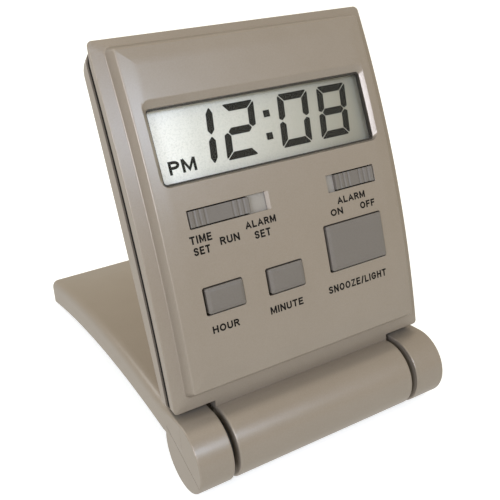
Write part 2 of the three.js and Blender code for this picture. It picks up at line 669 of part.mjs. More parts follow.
/** Striped rubber connector between the glass and the board, above or below the diffuser. */
function zebraStrip(side) {
  const offset = side * (LCD_HALF_HEIGHT - ZEBRA_WIDTH / 2);
  const under = new THREE.Vector3(0, offset, -LCD_DEPTH - LCD_THICKNESS).applyMatrix4(windowFrame);
  const lean = Math.abs(Math.tan(archTilt(WINDOW_MIDDLE))) * (ZEBRA_WIDTH / 2);
  return box(
    -VIEW_HALF_WIDTH,
    VIEW_HALF_WIDTH,
    under.y - ZEBRA_WIDTH / 2,
    under.y + ZEBRA_WIDTH / 2,
    BOARD_FRONT + CLEAR,
    under.z - lean - CLEAR,
  );
}

// ---------------------------------------------------------------- controls

function pushButton({ x, y, width, height, frame }) {
  const flangeTop = -WALL - CLEAR;
  const flangeLow = flangeTop - BUTTON_FLANGE_THICKNESS;
  const switchTop = BOARD_FRONT + CLEAR + SWITCH_HEIGHT + PLUNGER_HEIGHT;
  const stemLow = switchTop + BUTTON_TRAVEL + CLEAR - panelZ(y);
  const capRing = (inset, z) => roundedRectangle(
    x,
    0,
    width / 2 - CLEAR - inset,
    height / 2 - CLEAR - inset,
    BUTTON_CORNER_R,
  ).map(([px, py]) => [px, py, z]);
  const cap = loft([
    capRing(0, flangeLow + BUTTON_FLANGE_THICKNESS / 2),
    capRing(0, BUTTON_PROUD - BUTTON_CHAMFER),
    capRing(BUTTON_CHAMFER, BUTTON_PROUD),
  ], frame);
  const flange = prismZ(
    roundedRectangle(x, 0, width / 2 + BUTTON_FLANGE, height / 2 + BUTTON_FLANGE, BUTTON_CORNER_R),
    flangeLow,
    flangeTop,
    frame,
  );
  const stem = prismZ(circle(x, 0, STEM_R), stemLow, flangeLow + BUTTON_FLANGE_THICKNESS / 2, frame);
  return joinAll([cap, flange, stem]);
}

function keySwitch({ x, y }) {
  const half = SWITCH_SIZE / 2;
  const low = BOARD_FRONT + CLEAR;
  const body = box(x - half, x + half, y - half, y + half, low, low + SWITCH_HEIGHT);
  const top = low + SWITCH_HEIGHT;
  const plunger = prismZ(circle(x, y, PLUNGER_R), top - SWITCH_HEIGHT / 2, top + PLUNGER_HEIGHT);
  return body.add(plunger);
}

/** Slider at one end of its slot: side -1 rests at the left end, side +1 at the right. */
function slideKnob(slot, travel, side) {
  const length = slot[1] - slot[0] - travel - 2 * CLEAR;
  const left = side < 0 ? slot[0] + CLEAR : slot[1] - CLEAR - length;
  const right = left + length;
  const plateTop = -WALL - CLEAR;
  const plateLow = plateTop - SLIDER_PLATE;
  const top = [];
  const ribs = 3;
  for (let i = 0; i < ribs; i += 1) {
    const x = right - RIB_PITCH * (i + 0.5);
    top.push([x + RIB_PITCH / 2, 0], [x + RIB_GROOVE / 2, 0], [x, -RIB_GROOVE], [x - RIB_GROOVE / 2, 0]);
  }
  const dishEnd = RIB_PITCH * ribs;
  const dishHalf = length / 2 - dishEnd;
  for (let i = 1; i < 6; i += 1) {
    const across = 1 - i / 3;
    top.push([(left + right) / 2 + dishHalf * across, -KNOB_DISH * (1 - across ** 2)]);
  }
  for (let i = ribs - 1; i >= 0; i -= 1) {
    const x = left + RIB_PITCH * (i + 0.5);
    top.push([x + RIB_GROOVE / 2, 0], [x, -RIB_GROOVE], [x - RIB_GROOVE / 2, 0], [x - RIB_PITCH / 2, 0]);
  }
  const half = SLOT_HEIGHT / 2 - CLEAR;
  const sunk = plateTop - SLIDER_PLATE / 2;
  const knob = prismY([[left, sunk], [right, sunk], ...top], -half, half, slotFrame);
  const plate = box(
    slot[0] - SLIDER_END_LIP - (side < 0 ? travel : 0),
    slot[1] + SLIDER_END_LIP + (side > 0 ? travel : 0),
    -SLOT_HEIGHT / 2 - SLIDER_LIP,
    SLOT_HEIGHT / 2 + SLIDER_LIP,
    plateLow,
    plateTop,
    slotFrame,
  );
  const middle = (left + right) / 2;
  const legLow = BOARD_FRONT + 2 * CLEAR + WIPER_RISE + WIPER_THICKNESS - panelZ(SLOT_MIDDLE);
  const leg = box(
    middle - WIPER_LENGTH / 2,
    middle + WIPER_LENGTH / 2,
    -half,
    half,
    legLow,
    plateLow + SLIDER_PLATE / 2,
    slotFrame,
  );
  return { solid: joinAll([knob, plate, leg]), middle };
}

/** Bent leaf contact under a slider's leg. */
function wiper(middle) {
  const end = WIPER_LENGTH / 2;
  const foot = WIPER_LENGTH / 6;
  const low = BOARD_FRONT + CLEAR - panelZ(SLOT_MIDDLE);
  const half = SLOT_HEIGHT / 2 - 3 * CLEAR;
  const line = [[-end, WIPER_RISE], [-foot, 0], [foot, 0], [end, WIPER_RISE]];
  const outline = [
    ...line.map(([x, z]) => [middle + x, low + z]),
    ...line.map(([x, z]) => [middle + x, low + z + WIPER_THICKNESS]).reverse(),
  ];
  return prismY(outline, -half, half, slotFrame);
}

// ---------------------------------------------------------------- circuit board

function circuitBoard() {
  const plate = box(-BOARD_HALF, BOARD_HALF, BOARD_BOTTOM, BOARD_TOP, BOARD_BACK, BOARD_FRONT);
  const holes = BOARD_SCREWS.map(([x, y]) => prismZ(
    circle(x, y, SCREW_SHANK_R + CLEAR),
    BOARD_BACK - WALL,
    BOARD_FRONT + WALL,
  ));
  return cutAll(plate, holes);
}

function chipBlob() {
  const x = HALF_WIDTH / 4;
  const ring = (radius, depth) => circle(x, ARCH_MIDDLE - BLOB_R, radius)
    .map(([px, py]) => [px, py, BOARD_BACK - CLEAR - depth]);
  return loft([
    ring(BLOB_R / 2, BLOB_HEIGHT),
    ring(BLOB_R * 0.85, BLOB_HEIGHT * 0.6),
    ring(BLOB_R, 0),
  ]);
}

function crystalCan() {
  const y = BOARD_TOP - 4 * CRYSTAL_R;
  const section = circle(y, BOARD_BACK - CLEAR - CRYSTAL_R, CRYSTAL_R);
  return prismX(section, -CRYSTAL_LENGTH / 2, CRYSTAL_LENGTH / 2);
}

function capacitor() {
  const x = -BOARD_HALF / 2;
  const y = BOARD_TOP - 2 * CAPACITOR_WIDTH;
  const high = BOARD_BACK - CLEAR;
  return box(
    x - CAPACITOR_LENGTH / 2,
    x + CAPACITOR_LENGTH / 2,
    y - CAPACITOR_WIDTH / 2,
    y + CAPACITOR_WIDTH / 2,
    high - CAPACITOR_HEIGHT,
    high,
  );
}

const piezoDisc = () => prismZ(
  circle(0, 0, BUZZER_R, 2 * SMALL_SIDES),
  1.5 * CLEAR,
  1.5 * CLEAR + BUZZER_THICKNESS,
  surfaceFrame(BUZZER_MIDDLE, innerBackZ),
);

// ---------------------------------------------------------------- screws

function caseScrew([x, y]) {
  const headLow = backZ(y) + SCREW_SUNK;
  const head = prismZ(circle(x, y, SCREW_HEAD_R), headLow, headLow + SCREW_HEAD_HEIGHT);
  const shank = prismZ(
    circle(x, y, SCREW_SHANK_R),
    headLow + SCREW_HEAD_HEIGHT / 2,
    headLow + SCREW_LENGTH,
  );
  return head.add(shank);
}

function boardScrew([x, y]) {
  const headHigh = BOARD_BACK - CLEAR;
  const head = prismZ(circle(x, y, BOARD_SCREW_HEAD_R), headHigh - BOARD_SCREW_HEAD_HEIGHT, headHigh);
  const shank = prismZ(
    circle(x, y, SCREW_SHANK_R),
    headHigh - BOARD_SCREW_HEAD_HEIGHT / 2,
    headHigh + BOARD_SCREW_LENGTH,
  );
  return head.add(shank);
}

// ---------------------------------------------------------------- battery compartment

const DOOR_HALF_LENGTH = BARREL_HALF - DOOR_END_MARGIN;
const TERMINAL_X = BAY_HALF - CLEAR - TERMINAL_THICKNESS / 2;
const TERMINALS = [
  { name: 'negative_terminal', x: -TERMINAL_X },
  { name: 'positive_terminal', x: TERMINAL_X },
];
const CELL_RIGHT = TERMINAL_X - TERMINAL_THICKNESS / 2 - CLEAR;
const CELL_LEFT = CELL_RIGHT - CELL_LENGTH;

/** Tail that leaves the barrel through the web and ends behind the circuit board. */
function terminalArm(x, halfThickness, margin) {
  const low = seamZ(CASE_BOTTOM) - 3 * CLEAR;
  const kneeY = CASE_BOTTOM + WALL;
  const endY = BOARD_BOTTOM + TERMINAL_TAIL;
  const endZ = BOARD_BACK - CLEAR;
  return prismX([
    [BAY_R / 3, low - TERMINAL_TAIL - margin],
    [kneeY + margin, low - TERMINAL_TAIL - margin],
    [endY + margin, endZ - TERMINAL_TAIL - margin],
    [endY + margin, endZ + margin],
    [kneeY, low + margin],
    [BAY_R / 3, low + margin],
  ], x - halfThickness, x + halfThickness);
}

function terminal({ x }) {
  const half = TERMINAL_THICKNESS / 2;
  return prismX(circle(0, 0, TERMINAL_R), x - half, x + half).add(terminalArm(x, half, 0));
}

function batteryCell() {
  const shoulder = CELL_RIGHT - CELL_NUB_LENGTH;
  const can = prismX(circle(0, 0, CELL_R, 2 * SMALL_SIDES), CELL_LEFT, shoulder);
  const nub = prismX(circle(0, 0, CELL_NUB_R), shoulder - CELL_NUB_LENGTH, CELL_RIGHT);
  return can.add(nub);
}

function batterySpring() {
  const near = -TERMINAL_X + TERMINAL_THICKNESS / 2 + CLEAR + SPRING_WIRE_R;
  const far = near + SPRING_LENGTH - 2 * SPRING_WIRE_R;
  const steps = 36;
  const wide = TERMINAL_R - SPRING_WIRE_R;
  const narrow = wide / 2;
  const points = Array.from({ length: steps + 1 }, (_, i) => {
    const share = i / steps;
    const angle = 2 * Math.PI * SPRING_TURNS * share;
    const radius = wide + (narrow - wide) * share;
    const x = near + (far - near) * share;
    return new THREE.Vector3(x, radius * Math.cos(angle), radius * Math.sin(angle));
  });
  const wire = new THREE.Shape(circle(0, 0, SPRING_WIRE_R, 6).map(([a, b]) => new THREE.Vector2(a, b)));
  return toSolid(new THREE.ExtrudeGeometry(wire, {
    steps,
    bevelEnabled: false,
    extrudePath: new THREE.CatmullRomCurve3(points),
  }));
}

const batteryDoor = () => barrelSector(
  BAY_R,
  BARREL_R,
  DOOR_DIRECTION,
  DOOR_HALF_ANGLE,
  -DOOR_HALF_LENGTH,
  DOOR_HALF_LENGTH,
);

// ---------------------------------------------------------------- lid

function standLid() {
  const tray = archedSlab({
    halfWidth: HALF_WIDTH,
    bottom: LID_NEAR,
    top: CASE_TOP,
    low: CLEAR,
    high: CLEAR + LID_DEPTH,
    cornerR: CASE_CORNER_R,
    roundHigh: LID_ROUND_R,
  });
  const hollow = archedSlab({
    halfWidth: HALF_WIDTH - WALL,
    bottom: LID_NEAR + WALL,
    top: CASE_TOP - WALL,
    low: CLEAR,
    high: CLEAR + LID_DEPTH - WALL,
    cornerR: CASE_CORNER_R - WALL,
    roundHigh: LID_ROUND_R - WALL,
    skirt: WALL,
  });
  const low = rimZ(LID_NEAR) + CLEAR;
  const high = KNUCKLE_R * Math.cos((2 * Math.PI) / BARREL_SIDES); // level with the knuckles' tops
  const inner = LID_NEAR + WALL - CLEAR;
  const ears = [-1, 1].flatMap((side) => {
    const ends = [side * KNUCKLE_INNER, side * HALF_WIDTH].sort((a, b) => a - b);
    const knuckle = prismX(circle(0, 0, KNUCKLE_R, BARREL_SIDES), ...ends);
    const arm = prismX([[0, low], [inner, low], [inner, high], [0, high]], ...ends);
    return [knuckle, arm];
  });
  const bores = [-1, 1].map((side) => {
    const ends = [side * BARREL_HALF, side * (KNUCKLE_INNER + PIN_GRIP + CLEAR)].sort((a, b) => a - b);
    return prismX(circle(0, 0, PIN_R + CLEAR), ...ends);
  });
  // Everything below the table plane, turned into the lid's own frame.
  const table = new THREE.Matrix4().makeRotationX(-LID_TILT)
    .multiply(new THREE.Matrix4().makeTranslation(0, 0, -AXIS_HEIGHT));
  const below = box(-CASE_WIDTH, CASE_WIDTH, -CASE_TOP, 2 * CASE_TOP, -CASE_TOP, 0, table);
  return cutAll(joinAll([tray.subtract(hollow), ...ears]), [...bores, below]);
}

function hingePin(side) {
  const reach = BAY_HALF + CLEAR;
  const ends = [side * reach, side * (KNUCKLE_INNER + PIN_GRIP)].sort((a, b) => a - b);
  return prismX(circle(0, 0, PIN_R), ...ends);
}

function frictionWasher(side) {
  const near = BARREL_HALF + (KNUCKLE_GAP - WASHER_THICKNESS) / 2;
  const ends = [side * near, side * (near + WASHER_THICKNESS)].sort((a, b) => a - b);
  const ring = prismX(circle(0, 0, WASHER_R, 2 * SMALL_SIDES), ...ends);
  const hole = prismX(circle(0, 0, PIN_R + CLEAR), -CASE_WIDTH, CASE_WIDTH);
  return ring.subtract(hole);
}

// ---------------------------------------------------------------- assembly

function finish(color, roughness, metalness = 0) {
  return new THREE.MeshStandardMaterial({ color, roughness, metalness });
}

const FINISHES = {
  paint: finish(0xaca395, 0.45, 0.35),
  control: finish(0x8f8984, 0.5),
  black: finish(0x1c1a18, 0.6),
  lens: finish(0xe8ece4, 0.1),
  glass: finish(0xc4c6b4, 0.2),
  diffuser: finish(0xf1f1ea, 0.5),
  board: finish(0x2f6b3c, 0.5),
  steel: finish(0xb8b8ba, 0.3, 1),
  brass: finish(0xc9a24e, 0.35, 1),
  cell: finish(0x3a3f46, 0.4, 0.4),
};

function node(name, solid, material) {
  const mesh = new THREE.Mesh(toGeometry(solid), material);
  mesh.name = name;
  return mesh;
}

const clock = new THREE.Group();
clock.position.z = AXIS_HEIGHT;
clock.rotation.x = degrees(90 - LEAN_BACK);

const stand = new THREE.Group();
stand.position.z = AXIS_HEIGHT;
stand.rotation.x = LID_TILT;

const modeSlider = slideKnob(MODE_SLOT, MODE_TRAVEL, -1);
const alarmSlider = slideKnob(ALARM_SLOT, ALARM_TRAVEL, 1);

clock.add(
  node('front_bezel', frontBezel(), FINISHES.paint),
  node('middle_frame', middleFrame(), FINISHES.black),
  node('back_cover', backCover(), FINISHES.paint),
  node('display_lens', displayLens(), FINISHES.lens),
  node('display_holder', displayHolder(), FINISHES.black),
  node('lcd_glass', lcdGlass(), FINISHES.glass),
  node('backlight_diffuser', backlightDiffuser(), FINISHES.diffuser),
  node('backlight_led', backlightLed(), FINISHES.diffuser),
  node('zebra_strip_upper', zebraStrip(1), FINISHES.black),
  node('zebra_strip_lower', zebraStrip(-1), FINISHES.black),
  node('circuit_board', circuitBoard(), FINISHES.board),
  node('chip_blob', chipBlob(), FINISHES.black),
  node('crystal_can', crystalCan(), FINISHES.steel),
  node('capacitor', capacitor(), FINISHES.brass),
  node('piezo_disc', piezoDisc(), FINISHES.brass),
  node('battery', batteryCell(), FINISHES.cell),
  node('battery_spring', batterySpring(), FINISHES.steel),
  node('battery_door', batteryDoor(), FINISHES.paint),
  node('mode_slider', modeSlider.solid, FINISHES.control),
  node('mode_wiper', wiper(modeSlider.middle), FINISHES.brass),
  node('alarm_slider', alarmSlider.solid, FINISHES.control),
  node('alarm_wiper', wiper(alarmSlider.middle), FINISHES.brass),
);
KEYS.forEach((key) => {
  clock.add(node(`${key.name}_button`, pushButton(key), FINISHES.control));
  clock.add(node(`${key.name}_switch`, keySwitch(key), FINISHES.black));
});
TERMINALS.forEach((place) => {
  clock.add(node(place.name, terminal(place), FINISHES.steel));
});
CASE_SCREWS.forEach((place, i) => {
  clock.add(node(`case_screw_${i + 1}`, caseScrew(place), FINISHES.steel));
});
BOARD_SCREWS.forEach((place, i) => {
  clock.add(node(`board_screw_${i + 1}`, boardScrew(place), FINISHES.steel));
});

stand.add(
  node('stand_lid', standLid(), FINISHES.paint),
  node('hinge_pin_left', hingePin(-1), FINISHES.steel),
  node('hinge_pin_right', hingePin(1), FINISHES.steel),
  node('friction_washer_left', frictionWasher(-1), FINISHES.black),
  node('friction_washer_right', frictionWasher(1), FINISHES.black),
);

// The origin is the middle of the underside of the whole clock's box.
const alarmClock = new THREE.Group();
alarmClock.add(clock, stand);
alarmClock.updateMatrixWorld(true);
const extent = new THREE.Box3().setFromObject(alarmClock, true);
clock.position.y = -(extent.min.y + extent.max.y) / 2;
stand.position.y = clock.position.y;

export default alarmClock;
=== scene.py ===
"""Folding travel alarm clock, dressed: painted shells, printed legends, display and small metal parts.

Shapes are drawn in millimetres in a leaf's own frame: x along the hinge, y up the leaf from the
hinge axis, z out of the face. Both leaves share that frame when the clock is folded shut.
"""

import json
from collections import namedtuple
from math import atan, cos, pi, radians, sin, sqrt, tan

import bmesh
import bpy
from mathutils import Matrix, Vector


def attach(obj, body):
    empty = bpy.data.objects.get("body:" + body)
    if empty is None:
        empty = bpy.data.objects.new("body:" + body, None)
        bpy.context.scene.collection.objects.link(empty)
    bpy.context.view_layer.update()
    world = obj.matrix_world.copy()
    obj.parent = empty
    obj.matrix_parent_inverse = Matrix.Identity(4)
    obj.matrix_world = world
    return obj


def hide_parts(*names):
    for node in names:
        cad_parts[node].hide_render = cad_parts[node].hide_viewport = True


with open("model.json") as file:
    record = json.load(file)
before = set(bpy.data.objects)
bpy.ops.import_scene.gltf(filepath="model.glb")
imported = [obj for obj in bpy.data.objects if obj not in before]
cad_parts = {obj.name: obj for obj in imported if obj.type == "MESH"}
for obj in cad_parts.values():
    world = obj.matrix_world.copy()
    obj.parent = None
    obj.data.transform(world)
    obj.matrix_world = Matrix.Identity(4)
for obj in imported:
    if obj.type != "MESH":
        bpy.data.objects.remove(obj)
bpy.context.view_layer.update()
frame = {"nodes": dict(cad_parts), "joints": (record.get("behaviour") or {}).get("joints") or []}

# ---------------------------------------------------------------- sizes, millimetres and degrees

MM = 0.001
CLEAR = 0.3  # gap round what moves or fits into something else
WALL = 1.6
HAIR = 0.02  # keeps two surfaces from lying in one plane

CASE_HALF = 37.0
CASE_LOW = 10.5
CASE_HIGH = 96.8
FACE_RADIUS = 275.5  # face, seam and back are each arched along the leaf
SEAM_RADIUS = 388
BACK_RADIUS = 1500
RIM_RISE = 1.5
RIM_FALL = 0.12  # the rim slopes down by this much to its outer edge
RIM_EDGE_R = 0.3
RIM_FOOT_RISE = 0.33  # and rises by this much to the foot of the panel
SEAM_DEPTH = 3.05
SEAM_TILT = 0.006  # the seam runs out towards the face at the case's upper end
SEAM_GAP = 2.2
SEAM_INSET = 0.35
SEAM_LIP = 0.1  # chamfer on the front shell's edge along the seam
BEAD_CLEAR = 0.06
BEAD_REACH = 1.3
BEAD_EDGE_R = 0.2
BACK_MIDDLE = -5.279  # the back's height half-way up the case
BACK_SIDE_R = 0.9  # round of the back's edge along its sides
BACK_END_R = 2.6  # the back's upper end is rolled off this much more
HEEL_TOP = -1.95
HEEL_SLOPE = 0.311  # below its top, the case's lower side runs along the opened lid
FLAT_INSET = 12  # from this far in, one face closes a shell's flat

PANEL_RAISE = 3.9
PANEL_DRAFT = 1.0
PANEL_SIDE = 3.2
PANEL_TOP = 2.0
PANEL_BOTTOM = 3.4
PANEL_FOOT_R = 0.45
PANEL_CREST_R = 0.55
PANEL_ROLL = 0.3  # the panel rolls off by this much towards its crest
PANEL_ROLL_WIDTH = 3.4
PANEL_ROLL_R = 22

BARREL_R = 9.0
KNUCKLE_R = 9.1
BARREL_HALF = 26.3
KNUCKLE_INNER = 27.9
BARREL_EDGE_R = 0.6
KNUCKLE_END_R = 0.45
PIN_HOLE_R = 2.7
BAY_R = 7.4
BAY_HALF = 24.8
WEB_STEP = 0.55  # the web from barrel to case reaches this far under the rim
WEB_FLUSH = 0.004  # and its skin lies this little over the rim that it carries on
WEB_CREASE = 0.2  # the crease beside the barrel starts this far inside the barrel's skin
WEB_SHORT = 0.05

LID_NEAR = 9.6
LID_DEPTH = 7.7
LID_ROUND = 2.8
LID_CORNER_R = 2.0
LID_NEAR_CORNER_R = 0.5
LID_EDGE_R = 0.35
LID_INNER_EDGE_R = 0.3
LID_SHORT = 0.05  # the lid's far end stops this short of the case's
LID_ARM_END = 12.4  # where the knuckles' arms have risen to the tray's top
ARM_BEND = 8.0  # where they leave the knuckle's level
ARM_SLOPE = 0.15  # slope at which they meet the tray
ARM_STEPS = 16
ARM_ROUND_POWER = 1.6
ARM_LAP = 0.8
ARM_SUNK = 0.05
PARTING_HALF = 0.09
PARTING_DEPTH = 0.14
PARTING_REACH = 9
PARTING_TILT = 28

WINDOW_Y = 72.25
WINDOW_HALF = 30.3
WINDOW_CORNER_R = 2.2
WINDOW_INNER_CORNER_R = 0.9
# How far the window reaches below and above its middle. Its bevel is widest above the display
# and almost none below it.
WINDOW_LOW = -10.0
WINDOW_HIGH = 9.5
BEVEL_DEPTH = 0.95
BEVEL_ABOVE = 1.85
BEVEL_BELOW = 0.3
BEVEL_FOOT_R = 0.12
BEVEL_CREST_R = 0.55
BEVEL_RUNOUT = 0.07
GASKET_LOW = WINDOW_LOW + BEVEL_BELOW
GASKET_HIGH = WINDOW_HIGH - BEVEL_ABOVE
GASKET_HALF = 29.3
GASKET_CORNER_R = 0.8
GASKET_SIDE = 0.15
GASKET_TOP = 0.38
# The frame's bottom strip is widened as painted shade, for the shaded bevel below the display.
GASKET_BOTTOM_AND_SHADE = 0.5
GASKET_DEPTH = 1.1
LENS_DEPTH = 2.1
LCD_DEPTH = 3.4

CUT_DEPTH = 2.6  # slots and button holes go this deep, right through the panel
CUT_EASE_R = 0.26
CUT_RUNOUT = (0.5, 0.2)  # past its eased edge, a cutter flares this much and stands this high
SLOT_Y = 54.35
SLOT_HEIGHT = 4.3
SLOT_CORNER_R = 0.25
SLOT_BEVEL_REACH = 0.85  # the mode slot's free end is bevelled
SLOT_BEVEL_DEPTH = 0.95
SLOT_BEVEL_OVER = 0.1
MODE_SLOT = (-26.0, -5.4)
MODE_TRAVEL = 4.4
ALARM_SLOT = (12.0, 26.6)
ALARM_TRAVEL = 2.3
PLATE_DEPTH = 1.05
PLATE_THICKNESS = 0.6
PLATE_MARGIN = 0.8
PLATE_LAP = 0.5
POCKET_ROOM = 1  # the plates' pockets are this much longer than the plates need at either end

KEY_Y = 35.4
SNOOZE_Y = 38.7
KEY_CORNER_R = 0.5
KEY_GAP_LEFT = 0.28  # a key's hole reaches further at its left
KEY_GAP_RIGHT = 0.18  # and less far at its right
# Middle, width and height of each key's hole.
KEYS = {
    "hour": (-20.85, KEY_Y, 10.3, 6.6),
    "minute": (-4.1, KEY_Y, 10.3, 6.6),
    "snooze": (17.6, SNOOZE_Y, 17.6, 11.9),
}

ARCH_Y = (CASE_LOW + CASE_HIGH) / 2

# The hinge joint gives the axis and how far the lid turns to lie shut on the face.
HINGE = next(joint for joint in frame["joints"] if joint["name"] == "lid_hinge")
LEAN_BACK = 23.94  # the opened clock leans back by this much
CLOCK_TURN = 90 - LEAN_BACK
LID_TURN = HINGE["range_deg"][1] + CLOCK_TURN - 360


def arch_rise(radius, y):
    """How far an arch of a radius stands above the chord of the case's height, at height y."""
    return sqrt(radius ** 2 - (y - ARCH_Y) ** 2) - sqrt(radius ** 2 - (CASE_HIGH - ARCH_Y) ** 2)


def rim_z(y):
    """Rim surface above the hinge axis, at height y up the leaf."""
    return RIM_RISE + arch_rise(FACE_RADIUS, y)


def panel_z(y):
    """Surface of the raised panel."""
    return rim_z(y) + PANEL_RAISE


def seam_z(y):
    """Middle of the seam round the case's side."""
    return RIM_RISE - SEAM_DEPTH + arch_rise(SEAM_RADIUS, y) + SEAM_TILT * (y - ARCH_Y)


def back_z(y):
    """Back surface, as if its upper end were not rolled off."""
    return BACK_MIDDLE - arch_rise(BACK_RADIUS, ARCH_Y) + arch_rise(BACK_RADIUS, y)


def rolled_back_z(y):
    """Back surface with its upper end rolled off."""
    over = max(0, y - (CASE_HIGH - BACK_END_R))
    return back_z(y) + BACK_END_R - sqrt(BACK_END_R ** 2 - over ** 2)


def lid_z(y):
    """Outer surface of the lid's tray."""
    return rim_z(y) + CLEAR + LID_DEPTH


def leaf_place(turn):
    """Matrix from a leaf's millimetres to the frame's metres."""
    here = Matrix.Translation(Vector(HINGE["pos_m"]))
    return here @ Matrix.Rotation(radians(turn), 4, "X") @ Matrix.Scale(MM, 4)


def surface_place(y, surface, x=0.0):
    """Matrix to a spot on the arched surface: x across, y up along it, z out of it."""
    slope = atan(surface(y + 0.5) - surface(y - 0.5))
    return Matrix.Translation((x, y, surface(y))) @ Matrix.Rotation(slope, 4, "X")


CLOCK = leaf_place(CLOCK_TURN)
LID = leaf_place(LID_TURN)

# ---------------------------------------------------------------- mesh helpers

Outline = namedtuple("Outline", "half low high r_low r_high")

ARC_STEPS = 8
ARCH_STEPS = 48
TURN_STEPS = 128
SHARP_ANGLE = 38
MIN_CORNER_R = 0.06
CORNER_SHARE = 0.48  # a rounded corner uses less than half of each side that meets in it
TINY = 1e-4  # points as close as this are one point
WELD = 2e-3  # and so are those of a finished piece that are as close as this
MITRE_LIMIT = 0.62  # the joints in a stroke reach out by its half width over this, and no further


def linked(name, data):
    """New object in the scene that shows some data."""
    thing = bpy.data.objects.new(name, data)
    bpy.context.scene.collection.objects.link(thing)
    return thing


def inset(outline, distance):
    """Round-cornered outline moved inwards."""
    return Outline(
        outline.half - distance,
        outline.low + distance,
        outline.high - distance,
        max(outline.r_low - distance, MIN_CORNER_R),
        max(outline.r_high - distance, MIN_CORNER_R),
    )


def right_side(outline, height, steps=ARCH_STEPS):
    """Right half of an outline, from low to high, lifted by height(y)."""
    path = []
    for i in range(ARC_STEPS + 1):
        turn = pi / 2 * i / ARC_STEPS
        x = outline.half - outline.r_low * (1 - sin(turn))
        path.append((x, outline.low + outline.r_low * (1 - cos(turn))))
    low = outline.low + outline.r_low
    high = outline.high - outline.r_high
    path += [(outline.half, low + (high - low) * i / steps) for i in range(1, steps)]
    for i in range(ARC_STEPS + 1):
        turn = pi / 2 * i / ARC_STEPS
        x = outline.half - outline.r_high * (1 - cos(turn))
        path.append((x, outline.high - outline.r_high * (1 - sin(turn))))
    return [(x, y, height(y)) for x, y in path]


def level_side(outline, level, steps=2):
    """Right half of an outline, all at one level."""
    return right_side(outline, lambda y: level, steps)


def ring(outline, distance, surface, level):
    """Right half of an outline inset by a distance, at a level above an arched surface."""
    return right_side(inset(outline, distance), lambda y: surface(y) + level)


def rounded(corners, steps=5):
    """Run of points (a, b) through corners (a, b, radius), each turned into an arc."""
    points = [Vector(corners[0][:2])]
    for before, corner, after in zip(corners, corners[1:], corners[2:]):
        here = Vector(corner[:2])
        radius = corner[2] if len(corner) > 2 else 0
        back = Vector(before[:2]) - here
        on = Vector(after[:2]) - here
        half_turn = (pi - back.angle(on)) / 2
        reach = min(radius * tan(half_turn), CORNER_SHARE * back.length, CORNER_SHARE * on.length)
        if reach < TINY:
            points.append(here)
            continue
        start = here + back.normalized() * reach
        end = here + on.normalized() * reach
        points += [
            start.lerp(here, i / steps).lerp(here.lerp(end, i / steps), i / steps)
            for i in range(steps + 1)
        ]
    return [tuple(point) for point in points + [Vector(corners[-1][:2])]]


def new_piece(name, vertices, faces):
    """Piece from points and faces, with shared points joined and its normals outwards."""
    mesh = bpy.data.meshes.new(name)
    mesh.from_pydata([tuple(vertex) for vertex in vertices], [], faces)
    work = bmesh.new()
    work.from_mesh(mesh)
    bmesh.ops.remove_doubles(work, verts=work.verts, dist=TINY)
    bmesh.ops.recalc_face_normals(work, faces=work.faces)
    work.to_mesh(mesh)
    work.free()
    return linked(name, mesh)


def stack(name, sides):
    """Closed body through rings. Each ring is given by its right side, and the left mirrors it."""
    count = len(sides[0])
    vertices = [(sign * x, y, z) for side in sides for sign in (1, -1) for x, y, z in side]
    faces = []
    for level in range(len(sides) - 1):
        low, high = 2 * count * level, 2 * count * (level + 1)
        for i in range(count - 1):
            faces.append((low + i, low + i + 1, high + i + 1, high + i))
            faces.append((low + count + i + 1, low + count + i, high + count + i, high + count + i + 1))
        for i in (0, count - 1):
            faces.append((low + i, low + count + i, high + count + i, high + i))
    for start in (0, 2 * count * (len(sides) - 1)):
        for i in range(count - 1):
            faces.append((start + i, start + i + 1, start + count + i + 1, start + count + i))
    return new_piece(name, vertices, faces)


def tube_faces(levels, count):
    """Faces of a tube through levels of so many points each, with its two ends closed."""
    faces = [
        (level * count + i, level * count + (i + 1) % count,
         (level + 1) * count + (i + 1) % count, (level + 1) * count + i)
        for level in range(levels - 1)
        for i in range(count)
    ]
    last = (levels - 1) * count
    return faces + [tuple(range(count)), tuple(range(last, last + count))]


def turned(name, profile, sides=TURN_STEPS):
    """Body turned round the hinge axis from a profile of (x, radius), with a hair's bore left in it."""
    profile = [(x, max(radius, HAIR)) for x, radius in profile]
    vertices = [
        (x, radius * cos(2 * pi * i / sides), radius * sin(2 * pi * i / sides))
        for x, radius in profile
        for i in range(sides)
    ]
    return new_piece(name, vertices, tube_faces(len(profile), sides))


def prism(name, outline, low, high, axis):
    """Outline drawn out from low to high. Axis x takes points (y, z), y takes (x, z), z takes (x, y)."""
    turn_to = {
        "x": lambda a, b, c: (c, a, b),
        "y": lambda a, b, c: (a, c, b),
        "z": lambda a, b, c: (a, b, c),
    }
    vertices = [turn_to[axis](a, b, level) for level in (low, high) for a, b in outline]
    count = len(outline)
    faces = [(i, (i + 1) % count, count + (i + 1) % count, count + i) for i in range(count)]
    faces += [tuple(range(count)), tuple(range(2 * count - 1, count - 1, -1))]
    return new_piece(name, vertices, faces)


def rectangle(left, right, low, high):
    return [(left, low), (right, low), (right, high), (left, high)]


def circle(a, b, radius, sides=48):
    turns = [2 * pi * i / sides for i in range(sides)]
    return [(a + radius * cos(turn), b + radius * sin(turn)) for turn in turns]


def sector(name, inner, outer, middle, half, left, right, steps=40):
    """Part of a ring round the hinge axis, drawn out along x."""
    def arc(radius, sign):
        turns = [radians(middle + sign * half * (2 * i / steps - 1)) for i in range(steps + 1)]
        return [(radius * cos(turn), radius * sin(turn)) for turn in turns]
    return prism(name, arc(outer, 1) + arc(inner, -1), left, right, "x")


def settle(piece):
    """Applies a piece's modifiers to its mesh."""
    graph = bpy.context.evaluated_depsgraph_get()
    before = piece.data
    piece.data = bpy.data.meshes.new_from_object(piece.evaluated_get(graph))
    piece.modifiers.clear()
    bpy.data.meshes.remove(before)


